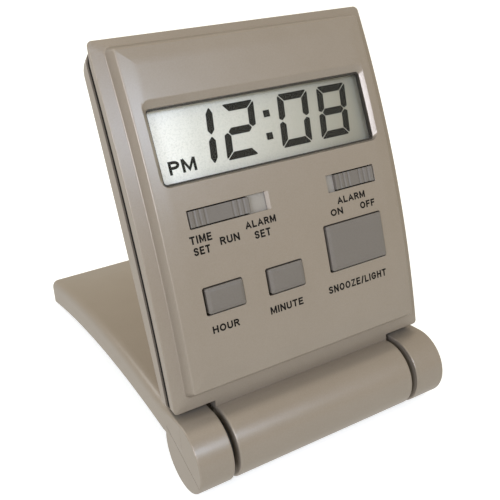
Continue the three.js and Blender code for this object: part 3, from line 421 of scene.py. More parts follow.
def combine(piece, tools, operation):
    """Joins tools to a piece, cuts them from it or keeps what lies in them."""
    for tool in tools:
        step = piece.modifiers.new("boolean", "BOOLEAN")
        step.operation = operation
        step.solver = "EXACT"
        step.object = tool
        settle(piece)
        bpy.data.objects.remove(tool)
    return piece


def bevelled(piece, width):
    """Rounds a piece's sharp edges."""
    step = piece.modifiers.new("bevel", "BEVEL")
    step.width = width
    step.segments = 3
    step.limit_method = "ANGLE"
    step.angle_limit = radians(SHARP_ANGLE)
    settle(piece)
    return piece


def placed(piece, place):
    """Moves a piece's points by a matrix."""
    piece.data.transform(place)
    return piece


def handed_over(piece, place, body, material, replaces=()):
    """Puts a finished piece in the frame, smooths its shading, gives it its material, hangs it on its body
    and hides the parts that it replaces.
    """
    work = bmesh.new()
    work.from_mesh(piece.data)
    bmesh.ops.remove_doubles(work, verts=work.verts, dist=WELD)
    bmesh.ops.dissolve_degenerate(work, dist=WELD / 2, edges=work.edges)
    work.to_mesh(piece.data)
    work.free()
    placed(piece, place)
    mesh = piece.data
    mesh.shade_smooth()
    mesh.set_sharp_from_angle(angle=radians(SHARP_ANGLE))
    step = piece.modifiers.new("normals", "WEIGHTED_NORMAL")
    step.keep_sharp = True
    settle(piece)
    piece.data.materials.clear()
    piece.data.materials.append(material)
    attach(piece, body)
    if replaces:
        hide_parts(*replaces)
    return piece


# ---------------------------------------------------------------- materials

# The sockets of a colour Mix node go by number: 0 is the factor, 6 and 7 are the two colours,
# and output 2 is the mixed colour.


def linear(code):
    """sRGB hex colour to linear red, green, blue, alpha."""
    channels = [int(code[i:i + 2], 16) / 255 for i in (1, 3, 5)]
    return tuple(c / 12.92 if c <= 0.04045 else ((c + 0.055) / 1.055) ** 2.4 for c in channels) + (1.0,)


def per_mm(size):
    """Texture scale for features of a size in millimetres."""
    return 1 / (size * MM)


def add(tree, kind, values=None, links=None):
    """Adds a node, sets its values by property or socket name, and links its sockets."""
    made = tree.nodes.new(kind)
    for name, value in (values or {}).items():
        if hasattr(made, str(name)) and not isinstance(name, int):
            setattr(made, name, value)
        else:
            made.inputs[name].default_value = value
    for name, source in (links or {}).items():
        tree.links.new(source, made.inputs[name])
    return made


def new_material(name):
    """Empty material, its node tree, its shader and the coordinates that stay with a piece."""
    material = bpy.data.materials.new(name)
    material.use_nodes = True
    tree = material.node_tree
    tree.nodes.clear()
    shader = add(tree, "ShaderNodeBsdfPrincipled")
    add(tree, "ShaderNodeOutputMaterial", links={"Surface": shader.outputs[0]})
    place = add(tree, "ShaderNodeTexCoord").outputs["Object"]
    return material, tree, shader, place


def silver_lacquer():
    """Warm silver lacquer sprayed on moulded ABS: fine aluminium flake in a satin binder."""
    material, tree, shader, place = new_material("silver_lacquer_on_abs")
    # The flake is about 0.03 mm. It is drawn ten times as coarse, so that its sparkle shows.
    flake = add(tree, "ShaderNodeTexNoise", {"Scale": per_mm(0.32), "Detail": 2.0}, {"Vector": place})
    # Faint clouds of an uneven coat, about 9 mm across.
    cloud = add(tree, "ShaderNodeTexNoise", {"Scale": per_mm(9), "Detail": 3.0}, {"Vector": place})
    clouds = add(tree, "ShaderNodeMath", {"operation": "MULTIPLY", 1: 0.3}, {0: cloud.outputs[0]})
    tone = add(tree, "ShaderNodeMath", {"operation": "MULTIPLY_ADD", 1: 0.7},
               {0: flake.outputs[0], 2: clouds.outputs[0]})
    colour = add(tree, "ShaderNodeMix", {"data_type": "RGBA", 6: linear("#918577"), 7: linear("#a29689")},
                 {0: tone.outputs[0]})
    rough = add(tree, "ShaderNodeMapRange", {"From Min": 0.3, "From Max": 0.7, "To Min": 0.3, "To Max": 0.38},
                {"Value": flake.outputs[0]})
    # Orange peel of the sprayed coat, about 1 mm across.
    peel = add(tree, "ShaderNodeTexNoise", {"Scale": per_mm(1.1), "Detail": 1.0}, {"Vector": place})
    coarse = add(tree, "ShaderNodeBump", {"Strength": 0.12, "Distance": 0.02 * MM},
                 {"Height": peel.outputs[0]})
    fine = add(tree, "ShaderNodeBump", {"Strength": 0.25, "Distance": 0.012 * MM},
               {"Height": flake.outputs[0], "Normal": coarse.outputs[0]})
    shader.inputs["Metallic"].default_value = 0.4
    tree.links.new(colour.outputs[2], shader.inputs["Base Color"])
    tree.links.new(rough.outputs[0], shader.inputs["Roughness"])
    tree.links.new(fine.outputs[0], shader.inputs["Normal"])
    return material


def moulded_plastic(name, dark, light, rough, grain_mm, depth_mm, shine=0.5):
    """Plastic moulded in colour, with the fine spark-eroded grain of its mould."""
    material, tree, shader, place = new_material(name)
    # The mould's grain is about 0.1 mm. grain_mm is coarser, so that it shows.
    grain = add(tree, "ShaderNodeTexNoise", {"Scale": per_mm(grain_mm), "Detail": 3.0}, {"Vector": place})
    colour = add(tree, "ShaderNodeMix", {"data_type": "RGBA", 6: linear(dark), 7: linear(light)},
                 {0: grain.outputs[0]})
    relief = add(tree, "ShaderNodeBump", {"Strength": 0.4, "Distance": depth_mm * MM},
                 {"Height": grain.outputs[0]})
    gloss = add(tree, "ShaderNodeMapRange", {"To Min": rough - 0.06, "To Max": rough + 0.06},
                {"Value": grain.outputs[0]})
    shader.inputs["Specular IOR Level"].default_value = shine
    tree.links.new(colour.outputs[2], shader.inputs["Base Color"])
    tree.links.new(relief.outputs[0], shader.inputs["Normal"])
    tree.links.new(gloss.outputs[0], shader.inputs["Roughness"])
    return material


def drawn_metal(name, dark, light, rough, streak):
    """Metal sheet or wire with fine drawing lines. streak stretches them, by axis."""
    material, tree, shader, place = new_material(name)
    # The lines are less than 0.1 mm apart. They are drawn at 0.4 mm, so that they show.
    stretched = add(tree, "ShaderNodeMapping", {"Scale": streak}, {"Vector": place})
    lines = add(tree, "ShaderNodeTexNoise", {"Scale": per_mm(0.4), "Detail": 4.0},
                {"Vector": stretched.outputs[0]})
    colour = add(tree, "ShaderNodeMix", {"data_type": "RGBA", 6: linear(dark), 7: linear(light)},
                 {0: lines.outputs[0]})
    gloss = add(tree, "ShaderNodeMapRange", {"To Min": rough - 0.08, "To Max": rough + 0.08},
                {"Value": lines.outputs[0]})
    shader.inputs["Metallic"].default_value = 1.0
    tree.links.new(colour.outputs[2], shader.inputs["Base Color"])
    tree.links.new(gloss.outputs[0], shader.inputs["Roughness"])
    return material


def display_glass():
    """Liquid crystal glass over a pearly reflector: pale grey, with a fine metallic speckle and a painted
    reflection that is lightest at its left end.
    """
    material, tree, shader, place = new_material("reflective_display_glass")
    # The reflector's flakes are under 0.1 mm. They are drawn at 0.45 mm, so that they show.
    speckle = add(tree, "ShaderNodeTexNoise", {"Scale": per_mm(0.45), "Detail": 2.0}, {"Vector": place})
    # Painted reflection: the colour fades from light at the left to darker grey at the right, and a painted
    # highlight whitens the far left, where the lamps would shine in the reflector.
    across = add(tree, "ShaderNodeSeparateXYZ", links={"Vector": place})
    ramp = add(tree, "ShaderNodeMapRange",
               {"From Min": -20 * MM, "From Max": 24 * MM, "To Min": 0.0, "To Max": 1.0},
               {"Value": across.outputs["X"]})
    even = add(tree, "ShaderNodeMix", {"data_type": "RGBA", 6: linear("#dcd8cc"), 7: linear("#9b9586")},
               {0: ramp.outputs[0]})
    # Painted highlight over the far left.
    painted_highlight_share = add(tree, "ShaderNodeMapRange",
                    {"From Min": -18 * MM, "From Max": -30 * MM, "To Min": 0.0, "To Max": 1.0},
                    {"Value": across.outputs["X"]})
    base = add(tree, "ShaderNodeMix", {"data_type": "RGBA", 7: linear("#fffaf0")},
               {0: painted_highlight_share.outputs[0], 6: even.outputs[2]})
    specks = add(tree, "ShaderNodeMapRange",
                 {"From Min": 0.45, "From Max": 0.75, "To Min": 0.0, "To Max": 0.22},
                 {"Value": speckle.outputs[0]})
    colour = add(tree, "ShaderNodeMix", {"data_type": "RGBA", 7: linear("#90917f")},
                 {0: specks.outputs[0], 6: base.outputs[2]})
    shader.inputs["Metallic"].default_value = 0.25
    shader.inputs["Roughness"].default_value = 0.42
    tree.links.new(colour.outputs[2], shader.inputs["Base Color"])
    return material


def clear_acrylic():
    """Polished clear acrylic. It is so clear that only a trace of its gloss is left."""
    material, tree, shader, place = new_material("clear_acrylic")
    # Faint polishing marks, about 3 mm apart.
    haze = add(tree, "ShaderNodeTexNoise", {"Scale": per_mm(3), "Detail": 3.0}, {"Vector": place})
    gloss = add(tree, "ShaderNodeMapRange", {"To Min": 0.03, "To Max": 0.09}, {"Value": haze.outputs[0]})
    shader.inputs["Base Color"].default_value = linear("#e6ebe3")
    shader.inputs["IOR"].default_value = 1.49
    shader.inputs["Alpha"].default_value = 0.01
    tree.links.new(gloss.outputs[0], shader.inputs["Roughness"])
    return material


def solder_mask():
    """Green solder mask over copper tracks, which show as slightly lighter lines."""
    material, tree, shader, place = new_material("green_solder_mask")
    # Rows of tracks lie about 2 mm apart, which is a quarter of the pattern's 9 mm.
    tracks = add(tree, "ShaderNodeTexBrick",
                 {"Scale": per_mm(9), "Mortar Size": 0.03, "Color1": linear("#1f6a38"),
                  "Color2": linear("#25743f"), "Mortar": linear("#3f9a58")}, {"Vector": place})
    shader.inputs["Roughness"].default_value = 0.35
    tree.links.new(tracks.outputs["Color"], shader.inputs["Base Color"])
    return material


def print_ink(name, code, rough):
    """Screen-printed ink: flat and slightly uneven where the mesh laid it down."""
    material, tree, shader, place = new_material(name)
    # The mesh is about 0.1 mm. It is drawn at 0.25 mm, so that it shows.
    mesh = add(tree, "ShaderNodeTexNoise", {"Scale": per_mm(0.25), "Detail": 2.0}, {"Vector": place})
    thin = add(tree, "ShaderNodeMapRange", {"To Min": 0.0, "To Max": 0.25}, {"Value": mesh.outputs[0]})
    colour = add(tree, "ShaderNodeMix", {"data_type": "RGBA", 6: linear(code), 7: linear("#1c1611")},
                 {0: thin.outputs[0]})
    shader.inputs["Roughness"].default_value = rough
    shader.inputs["Specular IOR Level"].default_value = 0.18
    tree.links.new(colour.outputs[2], shader.inputs["Base Color"])
    return material


LACQUER = silver_lacquer()
# Caps and knobs come from a satin mould, which spreads a lamp into a broad soft sheen.
CONTROL = moulded_plastic("satin_grey_abs", "#6a625a", "#756d66", 0.42, 0.35, 0.01)
# The frame between the shells is unpainted and dull, so that it reads as a dark line.
BLACK = moulded_plastic("black_moulded_abs", "#080604", "#120e0b", 0.6, 0.4, 0.02, 0.1)
# The display's surround is a little lighter than the frame between the shells. Its warm dark grey is partly
# its own colour and partly painted shade for the shaded bevel round the display, and reads as a thin shadow
# there.
DARK_FRAME_AND_SHADE = moulded_plastic("dark_grey_abs_and_painted_shade", "#35302a", "#403a33", 0.5, 0.4, 0.01, 0.3)
# Friction washers and the display's contact strips are soft, matt and slightly grey.
RUBBER = moulded_plastic("black_rubber", "#1b1a19", "#2a2826", 0.65, 0.3, 0.02)
# The backlight's parts are white all through and look milky.
MILKY = moulded_plastic("milky_diffuser", "#e8e8df", "#f4f4ee", 0.4, 0.6, 0.01)
# The cell's shrunk film is smooth and glossy.
SLEEVE = moulded_plastic("printed_cell_sleeve", "#2f363f", "#3b434d", 0.25, 0.8, 0.005)
# Pins, screws and springs are plated bright, with fine lines along them.
STEEL = drawn_metal("nickel_plated_steel", "#a9a9ab", "#d2d2d4", 0.3, (1, 8, 8))
# Wipers and the buzzer's disc are rolled, warm and bright.
BRASS = drawn_metal("rolled_brass", "#a8813a", "#d6b065", 0.32, (1, 8, 1))
GLASS = display_glass()
ACRYLIC = clear_acrylic()
BOARD = solder_mask()
# The sliders' plates have the caps' satin in a grey painted paler than the caps. This is painted light, which
# lifts the shade on the slots' floors beside the knobs.
PLATE_PAINTED_LIGHT = moulded_plastic("grey_abs_painted_lighter", "#978e85", "#a1988e", 0.42, 0.35, 0.01)
# The legends are matt, so that they stay dark at any angle, and the display's segments too.
INK = print_ink("legend_ink", "#0e0a06", 0.6)
SEGMENT = print_ink("display_segments", "#191408", 0.6)

# ---------------------------------------------------------------- case

# The case's corners are tight at the rim and rounder towards the back.
RIM_PLAN = Outline(CASE_HALF, CASE_LOW, CASE_HIGH, 1.0, 1.3)
SEAM_PLAN = Outline(CASE_HALF, CASE_LOW, CASE_HIGH, 1.9, 5.2)
BACK_PLAN = Outline(CASE_HALF, CASE_LOW, CASE_HIGH, 3.0, 6.5)
PANEL = Outline(CASE_HALF - PANEL_SIDE, CASE_LOW + PANEL_BOTTOM, CASE_HIGH - PANEL_TOP, 1.6, 1.6)


def seam_half(front):
    """Body of everything in front of the side seam, or behind it, for the barrel."""
    sign = 1 if front else -1
    far = 2 * CASE_HALF
    level = seam_z(CASE_LOW) + sign * CLEAR / 2
    return prism("seam_half", rectangle(-far, far, level, sign * far), -far, far, "x")


def rim_edge_z(y):
    """Rim's slope near its lower edge, carried on down to the barrel."""
    return rim_z(y) - RIM_FALL + (RIM_FALL + RIM_FOOT_RISE) * (y - CASE_LOW) / PANEL_BOTTOM


def barrel_body(front):
    """Middle barrel with the web that joins it to the case, hollow for the cell."""
    profile = rounded([
        (-BARREL_HALF, 0), (-BARREL_HALF, BARREL_R, BARREL_EDGE_R),
        (BARREL_HALF, BARREL_R, BARREL_EDGE_R), (BARREL_HALF, 0),
    ])
    barrel = turned("barrel", profile)
    web_top = CASE_LOW + WALL
    web_edge = CASE_LOW + WEB_STEP
    web_half = BARREL_HALF - WEB_SHORT
    crease = BARREL_R - WEB_CREASE
    web = prism("web", [
        (0, back_z(CASE_LOW)), (web_top, back_z(web_top) + HAIR), (web_top, 0), (web_edge, 0),
        (web_edge, rim_edge_z(web_edge) + WEB_FLUSH), (CASE_LOW, rim_edge_z(CASE_LOW) + WEB_FLUSH),
        (crease, rim_edge_z(crease)), (0, rim_edge_z(crease)),
    ], -web_half, web_half, "x")
    bay = turned("bay", [(-BAY_HALF, BAY_R), (BAY_HALF, BAY_R)], TURN_STEPS // 2)
    bore = turned("bore", [(-BARREL_HALF - 1, PIN_HOLE_R), (BARREL_HALF + 1, PIN_HOLE_R)], 32)
    combine(barrel, [web], "UNION")
    combine(barrel, [bay, bore], "DIFFERENCE")
    return combine(barrel, [seam_half(front)], "INTERSECT")


def opening_cutter(name, half_width, half_height, corner, profile):
    """Cutter for an opening in the panel: profile gives how far it flares at each level."""
    rings = []
    for flare, level in profile:
        outline = Outline(half_width + flare, -half_height - flare, half_height + flare,
                          corner + flare, corner + flare)
        rings.append(level_side(outline, level))
    return stack(name, rings)


def window_ring(inwards, level):
    """Ring of the window's bevel: inwards runs from 0 at its outer edge to 1 at its inner edge."""
    corner = WINDOW_CORNER_R + (WINDOW_INNER_CORNER_R - WINDOW_CORNER_R) * inwards
    outline = Outline(
        WINDOW_HALF + (GASKET_HALF - WINDOW_HALF) * inwards,
        WINDOW_Y + WINDOW_LOW + BEVEL_BELOW * inwards,
        WINDOW_Y + WINDOW_HIGH - BEVEL_ABOVE * inwards,
        corner,
        corner,
    )
    return ring(outline, 0, panel_z, level)


def window_cutter():
    """Cutter for the window and its bevel, down to the display."""
    profile = rounded([
        (1, -LCD_DEPTH), (1, -BEVEL_DEPTH, BEVEL_FOOT_R), (0, 0, BEVEL_CREST_R), (-1, BEVEL_RUNOUT),
    ], 6)
    return stack("window", [window_ring(*step) for step in profile])


def window_gasket():
    """Dark frame that holds the lens, seen as a thin line inside the bevel; its wide bottom strip is partly
    painted shade for the bevel below the display.
    """
    outer = Outline(GASKET_HALF - HAIR, GASKET_LOW + HAIR, GASKET_HIGH - HAIR,
                    GASKET_CORNER_R, GASKET_CORNER_R)
    hole = Outline(GASKET_HALF - GASKET_SIDE, GASKET_LOW + GASKET_BOTTOM_AND_SHADE, GASKET_HIGH - GASKET_TOP,
                   GASKET_CORNER_R, GASKET_CORNER_R)
    levels = (-LENS_DEPTH + HAIR, -GASKET_DEPTH)
    gasket = stack("window_gasket", [level_side(outer, level) for level in levels])
    opening = stack("opening", [level_side(hole, level) for level in (-LENS_DEPTH - 1, 0)])
    combine(gasket, [opening], "DIFFERENCE")
    placed(gasket, surface_place(WINDOW_Y, panel_z))
    return handed_over(gasket, CLOCK, "clock", DARK_FRAME_AND_SHADE)


def panel_cutters():
    """Cutters for the window, the slots and their pockets, the keys' holes and the mode slot's bevel."""
    eased = rounded([(0, -CUT_DEPTH), (0, 0, CUT_EASE_R), CUT_RUNOUT], 4)
    cutters = [window_cutter()]
    half_height = SLOT_HEIGHT / 2
    for left, right in (MODE_SLOT, ALARM_SLOT):
        half_width = (right - left) / 2
        spot = surface_place(SLOT_Y, panel_z, (left + right) / 2)
        slot = opening_cutter("slot", half_width, half_height, SLOT_CORNER_R, eased)
        pocket = opening_cutter("pocket", half_width + MODE_TRAVEL + POCKET_ROOM,
                                half_height + PLATE_MARGIN + CLEAR, SLOT_CORNER_R,
                                [(0, -CUT_DEPTH), (0, -PLATE_DEPTH + CLEAR)])
        cutters += [placed(slot, spot), placed(pocket, spot)]
    for x, y, width, height in KEYS.values():
        half_width = (width + KEY_GAP_LEFT - KEY_GAP_RIGHT) / 2
        hole = opening_cutter("key_hole", half_width, height / 2, KEY_CORNER_R, eased)
        cutters.append(placed(hole, surface_place(y, panel_z, x - (KEY_GAP_LEFT + KEY_GAP_RIGHT) / 2)))
    start = MODE_SLOT[1] - SLOT_BEVEL_OVER
    end = MODE_SLOT[1] + SLOT_BEVEL_REACH
    wedge = [(start, -SLOT_BEVEL_DEPTH), (end, SLOT_BEVEL_OVER), (start, SLOT_BEVEL_OVER)]
    bevel = prism("slot_end", wedge, -half_height, half_height, "y")
    cutters.append(placed(bevel, surface_place(SLOT_Y, panel_z)))
    return cutters


def front_shell():
    """Rim, raised panel and the front half of the middle barrel, in one shell."""
    panel_top = PANEL_RAISE - PANEL_ROLL
    slope = (RIM_FALL + RIM_FOOT_RISE) / PANEL_SIDE
    # The points that are left out after rounding only aim the arcs.
    edge = rounded([(0, -2), (0, -RIM_FALL, RIM_EDGE_R), (2, -RIM_FALL + 2 * slope)])[1:-1]
    wall = rounded([
        (-1, RIM_FOOT_RISE - slope),
        (0, RIM_FOOT_RISE, PANEL_FOOT_R),
        (PANEL_DRAFT, panel_top, PANEL_CREST_R),
        (PANEL_DRAFT + PANEL_ROLL_WIDTH, PANEL_RAISE, PANEL_ROLL_R),
        (PANEL_DRAFT + 2 * PANEL_ROLL_WIDTH, PANEL_RAISE),
    ], 7)[1:]
    sides = [
        ring(PANEL, WALL + PANEL_DRAFT, rim_z, PANEL_RAISE - WALL),
        ring(PANEL, WALL, rim_z, -WALL),
        ring(RIM_PLAN, WALL, rim_z, -WALL),
        ring(SEAM_PLAN, WALL, seam_z, SEAM_GAP / 2),
        ring(SEAM_PLAN, SEAM_LIP, seam_z, SEAM_GAP / 2),
        ring(SEAM_PLAN, 0, seam_z, SEAM_GAP / 2 + SEAM_LIP),
    ]
    sides += [ring(RIM_PLAN, distance, rim_z, level) for distance, level in edge]
    sides += [ring(PANEL, distance, rim_z, level) for distance, level in wall]
    shell = stack("front_shell", sides)
    combine(shell, [barrel_body(True)], "UNION")
    combine(shell, panel_cutters(), "DIFFERENCE")
    return handed_over(shell, CLOCK, "clock", LACQUER, ["front_bezel"])


def seam_bead():
    """Black frame between the two shells, seen as a dark line round the case's side."""
    half = SEAM_GAP / 2 - BEAD_CLEAR
    inner = WALL + BEAD_REACH
    profile = rounded([
        (inner, -half), (SEAM_INSET, -half, BEAD_EDGE_R), (SEAM_INSET, half, BEAD_EDGE_R), (inner, half),
    ])
    bead = stack("seam_bead", [ring(SEAM_PLAN, distance, seam_z, level) for distance, level in profile])
    return handed_over(bead, CLOCK, "clock", BLACK, ["middle_frame"])


SCREW_X = 29.5
SCREW_FROM_END = 7.2
SCREW_ROWS = (CASE_LOW + SCREW_FROM_END, CASE_HIGH - SCREW_FROM_END)
SCREW_SPOTS = [(x, y) for y in SCREW_ROWS for x in (-SCREW_X, SCREW_X)]
SCREW_HEAD_R = 1.8
SCREW_HEAD_HEIGHT = 1.1
SCREW_HEAD_EDGE_R = 0.3
SCREW_SUNK = 0.5
SCREW_SHANK_R = 0.85
SCREW_LENGTH = 6.5
CROSS_HALF_LENGTH = 1.15
CROSS_HALF_WIDTH = 0.22
CROSS_DEPTH = 0.6
PILLAR_R = 3.2
PILLAR_HEIGHT = 3.5
PILLAR_HOLE_DEPTH = 1.9

BUZZER_Y = CASE_LOW + 19.5
SOUND_SLOTS = 5
SOUND_PITCH = 2.6
SOUND_HALF_WIDTH = 0.5
SOUND_FIELD_R = 8.7  # the slots' ends lie in a round field of this radius, less a wall

# Angles of the battery door and its grooves are degrees round the hinge axis, from the leaf's y.
DOOR_MIDDLE = -119
DOOR_HALF_ANGLE = 41
DOOR_GAP_ANGLE = 2.2
DOOR_HALF_LENGTH = 24.0
DOOR_EDGE_R = 0.2
THUMB_GROOVES = 7
THUMB_PITCH = 3.6
THUMB_HALF_ANGLE = 0.9
THUMB_HALF_LENGTH = 6
THUMB_DEPTH = 0.3


def heel_cutter():
    """Slopes the case's lower side behind the seam, so that the opened lid can lie along it."""
    low = back_z(CASE_LOW) - WALL
    outline = [(0, HEEL_TOP), (CASE_LOW, HEEL_TOP), (CASE_LOW + (HEEL_TOP - low) * HEEL_SLOPE, low), (0, low)]
    return prism("heel", outline, -2 * CASE_HALF, 2 * CASE_HALF, "x")


def sound_slot_cutters():
    """Row of round-ended slots over the buzzer, longest in the middle."""
    cutters = []
    for i in range(SOUND_SLOTS):
        x = SOUND_PITCH * (i - SOUND_SLOTS // 2)
        reach = sqrt(SOUND_FIELD_R ** 2 - x ** 2) - WALL - SOUND_HALF_WIDTH
        turns = [pi * k / 8 for k in range(9)]
        arc = [(SOUND_HALF_WIDTH * cos(turn), reach + SOUND_HALF_WIDTH * sin(turn)) for turn in turns]
        slot = prism("sound_slot", arc + [(-a, -b) for a, b in arc], -2, 3, "z")
        cutters.append(placed(slot, surface_place(BUZZER_Y, back_z, x)))
    return cutters


def back_shell():
    """Back of the case with its screw pillars, sound slots, doorway and half of the middle barrel."""
    edge = rounded([(0, 3), (0, 0, BACK_SIDE_R), (FLAT_INSET, 0)], 8)[1:]
    sides = [
        ring(BACK_PLAN, FLAT_INSET, rolled_back_z, WALL),
        ring(BACK_PLAN, WALL, rolled_back_z, WALL),
        ring(SEAM_PLAN, WALL, seam_z, -SEAM_GAP / 2),
        ring(SEAM_PLAN, 0, seam_z, -SEAM_GAP / 2),
    ]
    sides += [ring(BACK_PLAN, distance, rolled_back_z, level) for distance, level in edge]
    shell = stack("back_shell", sides)
    combine(shell, [heel_cutter()], "DIFFERENCE")
    combine(shell, [barrel_body(False)], "UNION")
    pillars = []
    cutters = []
    for x, y in SCREW_SPOTS:
        back = back_z(y)
        pillars.append(prism("pillar", circle(x, y, PILLAR_R), back + WALL / 2, back + PILLAR_HEIGHT, "z"))
        hole = circle(x, y, SCREW_HEAD_R + CLEAR)
        cutters.append(prism("screw_hole", hole, back - 2, back + PILLAR_HOLE_DEPTH, "z"))
    combine(shell, pillars, "UNION")
    cutters += sound_slot_cutters()
    cutters.append(sector("doorway", BAY_R - 1, BARREL_R + 1, DOOR_MIDDLE, DOOR_HALF_ANGLE + DOOR_GAP_ANGLE,
                          -DOOR_HALF_LENGTH - CLEAR, DOOR_HALF_LENGTH + CLEAR))
    combine(shell, cutters, "DIFFERENCE")
    return handed_over(shell, CLOCK, "clock", LACQUER, ["back_cover"])


def battery_door():
    """Curved door with a row of grooves for the thumb in its middle."""
    door = sector("battery_door_skin", BAY_R, BARREL_R, DOOR_MIDDLE, DOOR_HALF_ANGLE,
                  -DOOR_HALF_LENGTH, DOOR_HALF_LENGTH)
    bevelled(door, DOOR_EDGE_R)
    grooves = []
    for i in range(THUMB_GROOVES):
        turn = DOOR_MIDDLE + THUMB_PITCH * (i - THUMB_GROOVES // 2)
        grooves.append(sector("thumb_groove", BARREL_R - THUMB_DEPTH, BARREL_R + 1, turn, THUMB_HALF_ANGLE,
                              -THUMB_HALF_LENGTH, THUMB_HALF_LENGTH, 4))
    combine(door, grooves, "DIFFERENCE")
    return handed_over(door, CLOCK, "battery_door", LACQUER, ["battery_door"])


def case_screw(index, x, y):
    """Pan-head screw with a cross recess, sunk in the back."""
    top = back_z(y) + SCREW_SUNK
    recess = top + CROSS_DEPTH
    head = prism(f"case_screw_{index}_head", circle(x, y, SCREW_HEAD_R), top, top + SCREW_HEAD_HEIGHT, "z")
    bevelled(head, SCREW_HEAD_EDGE_R)
    shank = prism("shank", circle(x, y, SCREW_SHANK_R, 24), recess, top + SCREW_LENGTH, "z")
    combine(head, [shank], "UNION")
    bars = []
    for along, across in ((CROSS_HALF_LENGTH, CROSS_HALF_WIDTH), (CROSS_HALF_WIDTH, CROSS_HALF_LENGTH)):
        bar = rectangle(x - along, x + along, y - across, y + across)
        bars.append(prism("cross_bar", bar, top - 1, recess, "z"))
    combine(head, bars, "DIFFERENCE")
    return handed_over(head, CLOCK, "clock", STEEL, [f"case_screw_{index}"])


# ---------------------------------------------------------------- controls

CAP_SKIRT = 2.3
CAP_SIDE = 0.24  # a cap's side stands this far out of the panel
CAP_SIDE_R = 0.12
CAP_SHOULDER = (0.85, 0.62)  # how far in the shoulder ends, and its height there
CAP_SHOULDER_R = 0.8
CAP_CROWN = (2.5, 0.66)  # the same for the flat crown
CAP_MIN_CORNER_R = 0.1


def push_button(name, x, y, width, height):
    """Cap with upright sides and a sloping shoulder all round, a little proud of the panel."""
    profile = rounded([
        (0, -CAP_SKIRT), (0, CAP_SIDE, CAP_SIDE_R), (*CAP_SHOULDER, CAP_SHOULDER_R), CAP_CROWN,
    ])
    rings = []
    for distance, level in profile:
        corner = max(KEY_CORNER_R - distance, CAP_MIN_CORNER_R)
        outline = Outline(width / 2 - CLEAR - distance, -height / 2 + CLEAR + distance,
                          height / 2 - CLEAR - distance, corner, corner)
        rings.append(level_side(outline, level, 4))
    cap = stack(f"{name}_cap", rings)
    placed(cap, surface_place(y, panel_z, x))
    return handed_over(cap, CLOCK, f"{name}_button", CONTROL, [f"{name}_button"])


KNOB_SKIRT = 2.2
KNOB_PROUD = 0.12
KNOB_DISH = 0.3
KNOB_DISH_POWER = 2.5
KNOB_STEPS = 80
KNOB_END = 0.3  # a knob's ends are eased over this length
RIB_SPOTS = (1.4, 2.8, 4.2)  # grooves between the ribs, from either end of a knob
RIB_CUT = 0.2
RIB_CUT_HALF = 0.34


def knob_top(middle, reach):
    """Upper line of a knob: ribs at each end, a shallow dish between them and eased ends."""
    top = []
    for i in range(2 * KNOB_STEPS + 1):
        across = i / KNOB_STEPS - 1
        level = KNOB_PROUD - KNOB_DISH * (1 - abs(across) ** KNOB_DISH_POWER)
        from_end = reach * (1 - abs(across))
        for spot in RIB_SPOTS:
            level -= RIB_CUT * max(0, 1 - ((from_end - spot) / RIB_CUT_HALF) ** 2)
        if from_end < KNOB_END:
            level -= KNOB_PROUD * (1 - from_end / KNOB_END) ** 2
        top.append((middle + across * reach, level))
    return top


def slide_knob(name, slot, travel, side):
    """Slider on a plate under the panel. side says at which end of its slot it rests."""
    length = slot[1] - slot[0] - travel - 2 * CLEAR
    left = slot[0] + CLEAR if side < 0 else slot[1] - CLEAR - length
    right = left + length
    top = knob_top((left + right) / 2, length / 2)
    half = SLOT_HEIGHT / 2 - CLEAR
    knob = prism(f"{name}_knob", [(left, -KNOB_SKIRT)] + top + [(right, -KNOB_SKIRT)], -half, half, "y")
    placed(knob, surface_place(SLOT_Y, panel_z))
    handed_over(knob, CLOCK, f"{name}_slider", CONTROL, [f"{name}_slider"])
    # The plate closes the slot on both sides of the knob, over the knob's whole travel.
    if side < 0:
        spans = [(slot[0] - PLATE_LAP - travel, left - CLEAR), (right + HAIR, slot[1] + PLATE_LAP)]
    else:
        spans = [(slot[0] - PLATE_LAP, left - HAIR), (right + CLEAR, slot[1] + PLATE_LAP + travel)]
    plate_half = SLOT_HEIGHT / 2 + PLATE_MARGIN
    leaves = [
        prism(f"{name}_plate", rectangle(start, end, -plate_half, plate_half),
              -PLATE_DEPTH - PLATE_THICKNESS, -PLATE_DEPTH, "z")
        for start, end in spans
    ]
    plate = combine(leaves[0], leaves[1:], "UNION")
    placed(plate, surface_place(SLOT_Y, panel_z))
    return handed_over(plate, CLOCK, f"{name}_slider", PLATE_PAINTED_LIGHT)


# ---------------------------------------------------------------- display and legends

DISPLAY = surface_place(WINDOW_Y, panel_z)
DIGIT_WIDTH = 8.7
DIGIT_HEIGHT = 12.9
DIGIT_SLANT = 0.135
DIGIT_BASE = -6.85
STROKE = 1.75
SEGMENT_GAP = 0.34
SEGMENT_CORNER_R = 0.3
SEGMENT_THICKNESS = 0.06
ONE_LEFT = -22.6
ONE_HALF_GAP = 0.15
COLON_LEFT = 0.05
COLON_LOWS = (2.75, 8.15)
COLON_WIDTH = 1.7
COLON_HEIGHT = 1.65
COLON_SLANT = 0.1
# The other digits: their lit bars and left ends.
DIGITS = [("abged", -11.45), ("abcdef", 3.95), ("abcdefg", 15.6)]


def slanted(bar, left):
    """Bar of a digit with its corners rounded, leaning with the digit."""
    start = tuple((Vector(bar[0]) + Vector(bar[-1])) / 2)
    soft = rounded([start] + [(a, b, SEGMENT_CORNER_R) for a, b in bar] + [start], 4)[:-1]
    return [(left + a + b * DIGIT_SLANT, DIGIT_BASE + b) for a, b in soft]


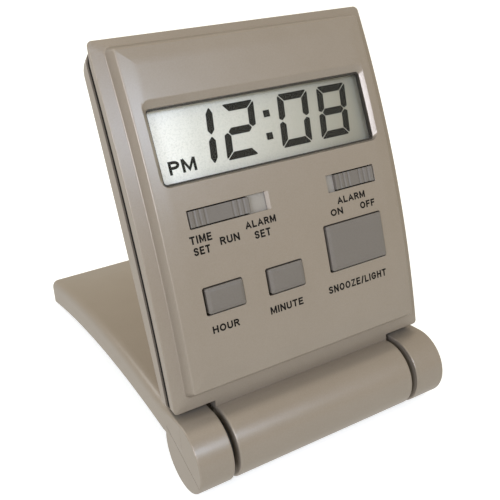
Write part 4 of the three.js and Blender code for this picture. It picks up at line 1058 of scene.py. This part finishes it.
def digit_segments(lit, left):
    """Outlines of the lit bars of one digit: a top, b and c right, d bottom, e and f left, g middle."""
    w, h, s = DIGIT_WIDTH, DIGIT_HEIGHT, STROKE
    m, g = h / 2, SEGMENT_GAP / 2
    tip = s / 2 + 1.6 * g
    bars = {
        "a": [(g, h), (w - g, h), (w - s - g, h - s), (s + g, h - s)],
        "d": [(g, 0), (w - g, 0), (w - s - g, s), (s + g, s)],
        "f": [(0, h - g), (s, h - s - g), (s, m + s / 2 + g / 2), (s / 2, m + g), (0, m + s / 3)],
        "b": [(w, h - g), (w - s, h - s - g), (w - s, m + s / 2 + g / 2), (w - s / 2, m + g), (w, m + s / 3)],
        "e": [(0, g), (s, s + g), (s, m - s / 2 - g / 2), (s / 2, m - g), (0, m - s / 3)],
        "c": [(w, g), (w - s, s + g), (w - s, m - s / 2 - g / 2), (w - s / 2, m - g), (w, m - s / 3)],
        "g": [(tip, m), (s + g, m + s / 2), (w - s - g, m + s / 2), (w - tip, m),
              (w - s - g, m - s / 2), (s + g, m - s / 2)],
    }
    return [slanted(bars[name], left) for name in lit]


def colon_dots(left):
    """Outlines of the colon's two square dots."""
    dots = []
    for low in COLON_LOWS:
        start = left + low * COLON_SLANT
        base = DIGIT_BASE + low
        dots.append(rectangle(start, start + COLON_WIDTH, base, base + COLON_HEIGHT))
    return dots


def one_bars(left):
    """The two pointed bars of the leading digit, which has no other segments."""
    w, h, s = DIGIT_WIDTH, DIGIT_HEIGHT, STROKE
    m = h / 2
    shoulder, waist = h - 0.8 * s, m + 0.7 * s
    upper = [(w - s / 2, h), (w, shoulder), (w, waist), (w - s / 2, m + ONE_HALF_GAP),
             (w - s, waist), (w - s, shoulder)]
    lower = [(a, h - b) for a, b in upper]
    return [slanted(bar, left) for bar in (upper, lower)]


def display_figures():
    """All dark segments of the display, as thin inlays on the glass."""
    outlines = one_bars(ONE_LEFT) + colon_dots(COLON_LEFT)
    for lit, left in DIGITS:
        outlines += digit_segments(lit, left)
    low = -LCD_DEPTH + HAIR
    pieces = [prism("bar", outline, low, low + SEGMENT_THICKNESS, "z") for outline in outlines]
    figures = pieces[0]
    with bpy.context.temp_override(active_object=figures, object=figures, selected_objects=pieces,
                                   selected_editable_objects=pieces):
        bpy.ops.object.join()
    figures.name = "display_figures"
    placed(figures, DISPLAY)
    return handed_over(figures, CLOCK, "clock", SEGMENT)


def bow(x, y, across, up, start, end, steps=12):
    """Points on an elliptic arc, with its turn in degrees."""
    turns = [radians(start + (end - start) * i / steps) for i in range(steps + 1)]
    return [(x + across * cos(turn), y + up * sin(turn)) for turn in turns]


# Letters by the middle lines of their strokes: width, then strokes, in cap heights.
GLYPHS = {
    "A": (0.62, [[(0, 0), (0.31, 1), (0.62, 0)], [(0.12, 0.3), (0.5, 0.3)]]),
    "E": (0.44, [[(0.44, 1), (0, 1), (0, 0), (0.46, 0)], [(0, 0.52), (0.4, 0.52)]]),
    "F": (0.42, [[(0.42, 1), (0, 1), (0, 0)], [(0, 0.5), (0.36, 0.5)]]),
    "G": (0.6, [bow(0.3, 0.5, 0.3, 0.5, 40, 325, 18) + [(0.58, 0.45), (0.34, 0.45)]]),
    "H": (0.52, [[(0, 0), (0, 1)], [(0.52, 0), (0.52, 1)], [(0, 0.53), (0.52, 0.53)]]),
    "I": (0.0, [[(0, 0), (0, 1)]]),
    "L": (0.42, [[(0, 1), (0, 0), (0.42, 0)]]),
    "M": (0.66, [[(0, 0), (0, 1)], [(0.04, 1), (0.33, 0.1), (0.62, 1)], [(0.66, 1), (0.66, 0)]]),
    "N": (0.54, [[(0, 0), (0, 1)], [(0.02, 1), (0.52, 0)], [(0.54, 1), (0.54, 0)]]),
    "O": (0.62, [bow(0.31, 0.5, 0.31, 0.5, 0, 360, 24)]),
    "P": (0.47, [[(0, 0), (0, 1)] + bow(0.23, 0.74, 0.24, 0.26, 90, -90) + [(0, 0.48)]]),
    "R": (0.5, [[(0, 0), (0, 1)] + bow(0.24, 0.75, 0.24, 0.25, 90, -90) + [(0, 0.5)],
                [(0.26, 0.5), (0.5, 0)]]),
    "S": (0.48, [bow(0.24, 0.76, 0.23, 0.24, 25, 270) + bow(0.24, 0.26, 0.24, 0.26, 90, -155)[1:]]),
    "T": (0.5, [[(0, 1), (0.5, 1)], [(0.25, 1), (0.25, 0)]]),
    "U": (0.52, [[(0, 1)] + bow(0.26, 0.3, 0.26, 0.3, 180, 360) + [(0.52, 1)]]),
    "Z": (0.5, [[(0.02, 1), (0.48, 1), (0, 0), (0.5, 0)]]),
    "/": (0.24, [[(0, -0.02), (0.24, 1.02)]]),
}
LETTER_GAP = 0.17
STROKE_LIFT = 0.004  # a letter's strokes lie over each other by this much


def ribbon(path, half):
    """Pairs of points either side of a path, with mitred joints and square ends."""
    points = [Vector(point) for point in path]
    closed = (points[0] - points[-1]).length < TINY
    pairs = []
    for i, here in enumerate(points):
        back = here - points[i - 1] if i else (here - points[-2] if closed else points[1] - here)
        on = points[i + 1] - here if i + 1 < len(points) else (points[1] - here if closed else back)
        back.normalize()
        on.normalize()
        along = (back + on).normalized()
        across = Vector((-along.y, along.x)) * half / max(along.dot(back), MITRE_LIMIT)
        if not closed and i in (0, len(points) - 1):
            here = here + along * (half if i else -half)
        pairs.append((here + across, here - across))
    return pairs


def lettering(name, words, left, right, base, height, weight, shape, material, slot):
    """Words fitted between left and right, in ribbons of a weight, laid flat on a surface."""
    widths = [GLYPHS[letter][0] for letter in words]
    gap = weight + LETTER_GAP * height
    scale = (right - left - weight - gap * (len(words) - 1)) / sum(widths)
    vertices = []
    faces = []
    start = left + weight / 2
    for number, letter in enumerate(words):
        for order, stroke in enumerate(GLYPHS[letter][1]):
            path = [(start + x * scale, base + weight / 2 + y * (height - weight)) for x, y in stroke]
            lift = STROKE_LIFT * order
            first = len(vertices)
            for pair in ribbon(path, weight / 2):
                vertices += [shape(*point, lift) for point in pair]
            faces += [(i, i + 1, i + 3, i + 2) for i in range(first, len(vertices) - 2, 2)]
        start += widths[number] * scale + gap
    mesh = bpy.data.meshes.new(name)
    mesh.from_pydata([tuple(vertex) for vertex in vertices], [], faces)
    return handed_over(linked(name, mesh), CLOCK, "clock", material)


PANEL_PRINT_LIFT = 0.03
GLASS_PRINT_LIFT = 0.05


def on_panel(x, y, lift):
    """Spot a little above the panel."""
    return (x, y, panel_z(y) + PANEL_PRINT_LIFT + lift)


def on_glass(x, y, lift):
    """Spot a little above the display glass."""
    return DISPLAY @ Vector((x, y, -LCD_DEPTH + GLASS_PRINT_LIFT + lift))


LEGEND_STROKE = 0.39
# Name, words, left end, right end, base line and letter height of each legend.
LEGENDS = [
    ("legend_time", "TIME", -26.75, -21.25, 48.85, 1.85),
    ("legend_time_set", "SET", -26.35, -22.15, 46.2, 1.85),
    ("legend_run", "RUN", -19.45, -14.35, 47.1, 1.8),
    ("legend_alarm_time", "ALARM", -12.35, -4.05, 49.0, 1.7),
    ("legend_alarm_set", "SET", -10.45, -6.05, 46.2, 1.85),
    ("legend_hour", "HOUR", -25.55, -18.55, 27.7, 1.75),
    ("legend_minute", "MINUTE", -9.95, -0.65, 27.6, 1.8),
    ("legend_snooze", "SNOOZE/LIGHT", 7.15, 25.35, 27.7, 1.85),
    ("legend_alarm", "ALARM", 14.05, 22.55, 48.95, 1.7),
    ("legend_on", "ON", 11.45, 15.15, 46.4, 1.7),
    ("legend_off", "OFF", 20.55, 25.15, 46.25, 1.75),
]
PM_STROKE = 0.68
PM_MARK = ("display_pm", "PM", -26.3, -19.45, DIGIT_BASE - 0.45, 3.1)

# ---------------------------------------------------------------- lid


def arm_top(y):
    """Upper side of a knuckle's arm: level with the knuckle, then in a soft bend up to the tray's top."""
    level = KNUCKLE_R - HAIR / 2
    if y <= ARM_BEND:
        return level
    run = LID_ARM_END - ARM_BEND
    t = (y - ARM_BEND) / run
    rise = lid_z(LID_ARM_END) - level
    return level + rise * (3 - 2 * t) * t * t + ARM_SLOPE * run * (t - 1) * t * t


def knuckle_arm(side):
    """Arm from a knuckle to the tray. The round of its outer edge grows to the tray's own."""
    sections = []
    for i in range(ARM_STEPS + 1):
        y = LID_ARM_END * i / ARM_STEPS
        edge_r = KNUCKLE_END_R + (LID_ROUND - KNUCKLE_END_R) * (i / ARM_STEPS) ** ARM_ROUND_POWER
        sections.append((y, arm_top(y), CASE_HALF, edge_r))
    end = LID_ARM_END + ARM_LAP
    sections.append((end, lid_z(end) - ARM_SUNK, CASE_HALF - ARM_SUNK, LID_ROUND))
    vertices = []
    for y, top, outer, edge_r in sections:
        low = rim_z(max(y, CASE_LOW)) + CLEAR
        start = (KNUCKLE_INNER + 2, low)
        outline = rounded([
            start, (outer, low, LID_EDGE_R), (outer, top, edge_r), (KNUCKLE_INNER, top, LID_EDGE_R),
            (KNUCKLE_INNER, low, HAIR / 2), start,
        ], 8)[:-1]
        vertices += [(side * x, y, z) for x, z in outline]
    return new_piece("knuckle_arm", vertices, tube_faces(len(sections), len(outline)))


def table_cutter():
    """Everything below the table, so that the lid stands flat on it."""
    far = 2 * CASE_HIGH
    table = prism("table", rectangle(-far, far, -far, far), -far, 0, "z")
    return placed(table, LID.inverted() @ Matrix.Scale(MM, 4))


def parting_cutter(side):
    """Fine groove for the parting line across a knuckle's end."""
    ends = sorted((side * (CASE_HALF - PARTING_DEPTH), side * (CASE_HALF + 1)))
    line = rectangle(-PARTING_REACH, PARTING_REACH, -PARTING_HALF, PARTING_HALF)
    return placed(prism("parting", line, *ends, "x"), Matrix.Rotation(radians(PARTING_TILT), 4, "X"))


def lid_shell():
    """Hollow lid that opens into the stand, with the two outer knuckles of the hinge."""
    outline = Outline(CASE_HALF, LID_NEAR, CASE_HIGH - LID_SHORT, LID_NEAR_CORNER_R, LID_CORNER_R)
    high = CLEAR + LID_DEPTH
    brim = (WALL / 2, CLEAR)
    inner = rounded([
        (FLAT_INSET, high - WALL), (WALL, high - WALL, LID_ROUND - WALL),
        (WALL, CLEAR, LID_INNER_EDGE_R), brim,
    ])
    outer = rounded([brim, (0, CLEAR, LID_EDGE_R), (0, high, LID_ROUND), (FLAT_INSET, high)], 8)
    lid = stack("lid_shell", [ring(outline, distance, rim_z, level) for distance, level in inner + outer[1:]])
    end = CASE_HALF - HAIR
    knuckle_profile = rounded([
        (end, 0), (end, KNUCKLE_R, KNUCKLE_END_R), (KNUCKLE_INNER, KNUCKLE_R, LID_EDGE_R), (KNUCKLE_INNER, 0),
    ], 8)
    for side in (-1, 1):
        knuckle = turned("knuckle", [(side * x, radius) for x, radius in knuckle_profile])
        combine(lid, [knuckle_arm(side), knuckle], "UNION")
    combine(lid, [table_cutter()], "DIFFERENCE")
    for side in (-1, 1):
        combine(lid, [parting_cutter(side)], "DIFFERENCE")
    return handed_over(lid, LID, "stand", LACQUER, ["stand_lid"])


# ---------------------------------------------------------------- assembly

front_shell()
window_gasket()
seam_bead()
back_shell()
battery_door()
for number, spot in enumerate(SCREW_SPOTS, 1):
    case_screw(number, *spot)
for key_name, key_size in KEYS.items():
    push_button(key_name, *key_size)
slide_knob("mode", MODE_SLOT, MODE_TRAVEL, -1)
slide_knob("alarm", ALARM_SLOT, ALARM_TRAVEL, 1)
display_figures()
lettering(*PM_MARK, PM_STROKE, on_glass, SEGMENT, "lcd_glass")
for legend in LEGENDS:
    lettering(*legend, LEGEND_STROKE, on_panel, INK, "painted_abs")
lid_shell()

# The other solids of the CAD keep their shapes and take a finish.
NODE_FINISHES = {
    ACRYLIC: ["display_lens"],
    GLASS: ["lcd_glass"],
    DARK_FRAME_AND_SHADE: ["display_holder"],
    BLACK: ["chip_blob", "hour_switch", "minute_switch", "snooze_switch"],
    RUBBER: ["zebra_strip_upper", "zebra_strip_lower", "friction_washer_left", "friction_washer_right"],
    MILKY: ["backlight_diffuser", "backlight_led"],
    BOARD: ["circuit_board"],
    SLEEVE: ["battery"],
    STEEL: ["hinge_pin_left", "hinge_pin_right", "crystal_can", "battery_spring", "negative_terminal",
            "positive_terminal", "board_screw_1", "board_screw_2", "board_screw_3"],
    BRASS: ["piezo_disc", "mode_wiper", "alarm_wiper", "capacitor"],
}
for finish, names in NODE_FINISHES.items():
    for name in names:
        mesh = frame["nodes"][name].data
        mesh.materials.clear()
        mesh.materials.append(finish)

# ---------------------------------------------------------------- camera, light and floor

CAMERA_PLACE = (-0.09198, -0.16460, 0.13751)
CAMERA_YAW = 31.12
CAMERA_PITCH = -28.86
CAMERA_LENS = 54.38
CAMERA_SHIFT = (0.0048, -0.002)
CAMERA_NEAR = 0.01

camera_data = bpy.data.cameras.new("camera")
camera_data.lens = CAMERA_LENS
camera_data.sensor_width = 36
camera_data.shift_x, camera_data.shift_y = CAMERA_SHIFT
camera_data.clip_start = CAMERA_NEAR
camera = linked("camera", camera_data)
camera.location = CAMERA_PLACE
camera.rotation_euler = (radians(90 + CAMERA_PITCH), 0, radians(-CAMERA_YAW))
bpy.context.scene.camera = camera

# Each lamp's name, turn from straight in front, height, size, watts and colour. A turn to the
# right is positive.
LAMPS = [
    ("key", 10, 37, 0.22, 0.95, "#bcd8ff"),
    ("edge", -57, 23, 0.26, 2.3, "#dae6ff"),
    ("left_front", -30, 34, 0.4, 0.3, "#ccd6ff"),
    ("top", 0, 86, 0.5, 0.3, "#ffffff"),
    ("left_back", -130, 38, 0.4, 0.9, "#dcebff"),
]
LAMP_DISTANCE = 0.7
LAMP_AIM = (0, 0, 0.045)
DIFFUSE_SKY = 0.71
GLOSSY_SKY = 0.74
PAPER_GLOW = 0.5
MIRRORED_PAPER = 0.79
FLOOR_HALF = 3.0
FLOOR_DROP = 0.0001


def soft_lamp(name, turn, height, size, watts, code):
    """Disk lamp aimed at the clock."""
    lamp = bpy.data.lights.new(name, "AREA")
    lamp.shape = "DISK"
    lamp.size = size
    lamp.energy = watts
    lamp.color = linear(code)[:3]
    turn, height = radians(turn), radians(height)
    way = Vector((sin(turn) * cos(height), -cos(turn) * cos(height), sin(height)))
    holder = linked(name, lamp)
    holder.location = Vector(LAMP_AIM) + way * LAMP_DISTANCE
    holder.rotation_euler = way.to_track_quat("Z", "Y").to_euler()


def seen_directly(tree):
    """Two factors: 1 for reflected rays, and 1 for rays that show the surroundings themselves.

    The second also counts rays that pass through something clear.
    """
    path = add(tree, "ShaderNodeLightPath")
    direct = add(tree, "ShaderNodeMath", {"operation": "MAXIMUM"},
                 {0: path.outputs["Is Camera Ray"], 1: path.outputs["Is Transmission Ray"]})
    return path.outputs["Is Glossy Ray"], direct.outputs[0]


def pale_room():
    """Room round the clock: white where it is seen directly, less bright on and in the clock."""
    room = bpy.data.worlds.new("studio")
    room.use_nodes = True
    tree = room.node_tree
    tree.nodes.clear()
    glossy, direct = seen_directly(tree)
    dim = add(tree, "ShaderNodeBackground", {"Color": linear("#fffde6"), "Strength": DIFFUSE_SKY})
    mirrored = add(tree, "ShaderNodeBackground", {"Color": linear("#fff1dc"), "Strength": GLOSSY_SKY})
    white = add(tree, "ShaderNodeBackground", {"Color": linear("#ffffff"), "Strength": 1.0})
    around = add(tree, "ShaderNodeMixShader", links={0: glossy, 1: dim.outputs[0], 2: mirrored.outputs[0]})
    sky = add(tree, "ShaderNodeMixShader", links={0: direct, 1: around.outputs[0], 2: white.outputs[0]})
    add(tree, "ShaderNodeOutputWorld", links={"Surface": sky.outputs[0]})
    return room


def white_paper():
    """Matt white paper that glows a little where it is seen directly, and keeps the clock's shadow."""
    paper = bpy.data.materials.new("white_paper")
    paper.use_nodes = True
    tree = paper.node_tree
    tree.nodes.clear()
    glossy, direct = seen_directly(tree)
    sheet = add(tree, "ShaderNodeBsdfDiffuse", {"Color": linear("#f0eeea")})
    glow = add(tree, "ShaderNodeEmission", {"Color": linear("#ffffff"), "Strength": PAPER_GLOW})
    lit = add(tree, "ShaderNodeAddShader", links={0: sheet.outputs[0], 1: glow.outputs[0]})
    mirrored = add(tree, "ShaderNodeEmission", {"Color": linear("#fffdf8"), "Strength": MIRRORED_PAPER})
    indirect = add(tree, "ShaderNodeMixShader",
                   links={0: glossy, 1: sheet.outputs[0], 2: mirrored.outputs[0]})
    surface = add(tree, "ShaderNodeMixShader", links={0: direct, 1: indirect.outputs[0], 2: lit.outputs[0]})
    add(tree, "ShaderNodeOutputMaterial", links={"Surface": surface.outputs[0]})
    return paper


for lamp_row in LAMPS:
    soft_lamp(*lamp_row)
bpy.context.scene.world = pale_room()

floor_mesh = bpy.data.meshes.new("floor")
floor_corners = rectangle(-FLOOR_HALF, FLOOR_HALF, -FLOOR_HALF, FLOOR_HALF)
floor_mesh.from_pydata([(x, y, -FLOOR_DROP) for x, y in floor_corners], [], [(0, 1, 2, 3)])
floor_mesh.materials.append(white_paper())
floor = linked("floor", floor_mesh)

bpy.context.scene.view_settings.view_transform = "Standard"
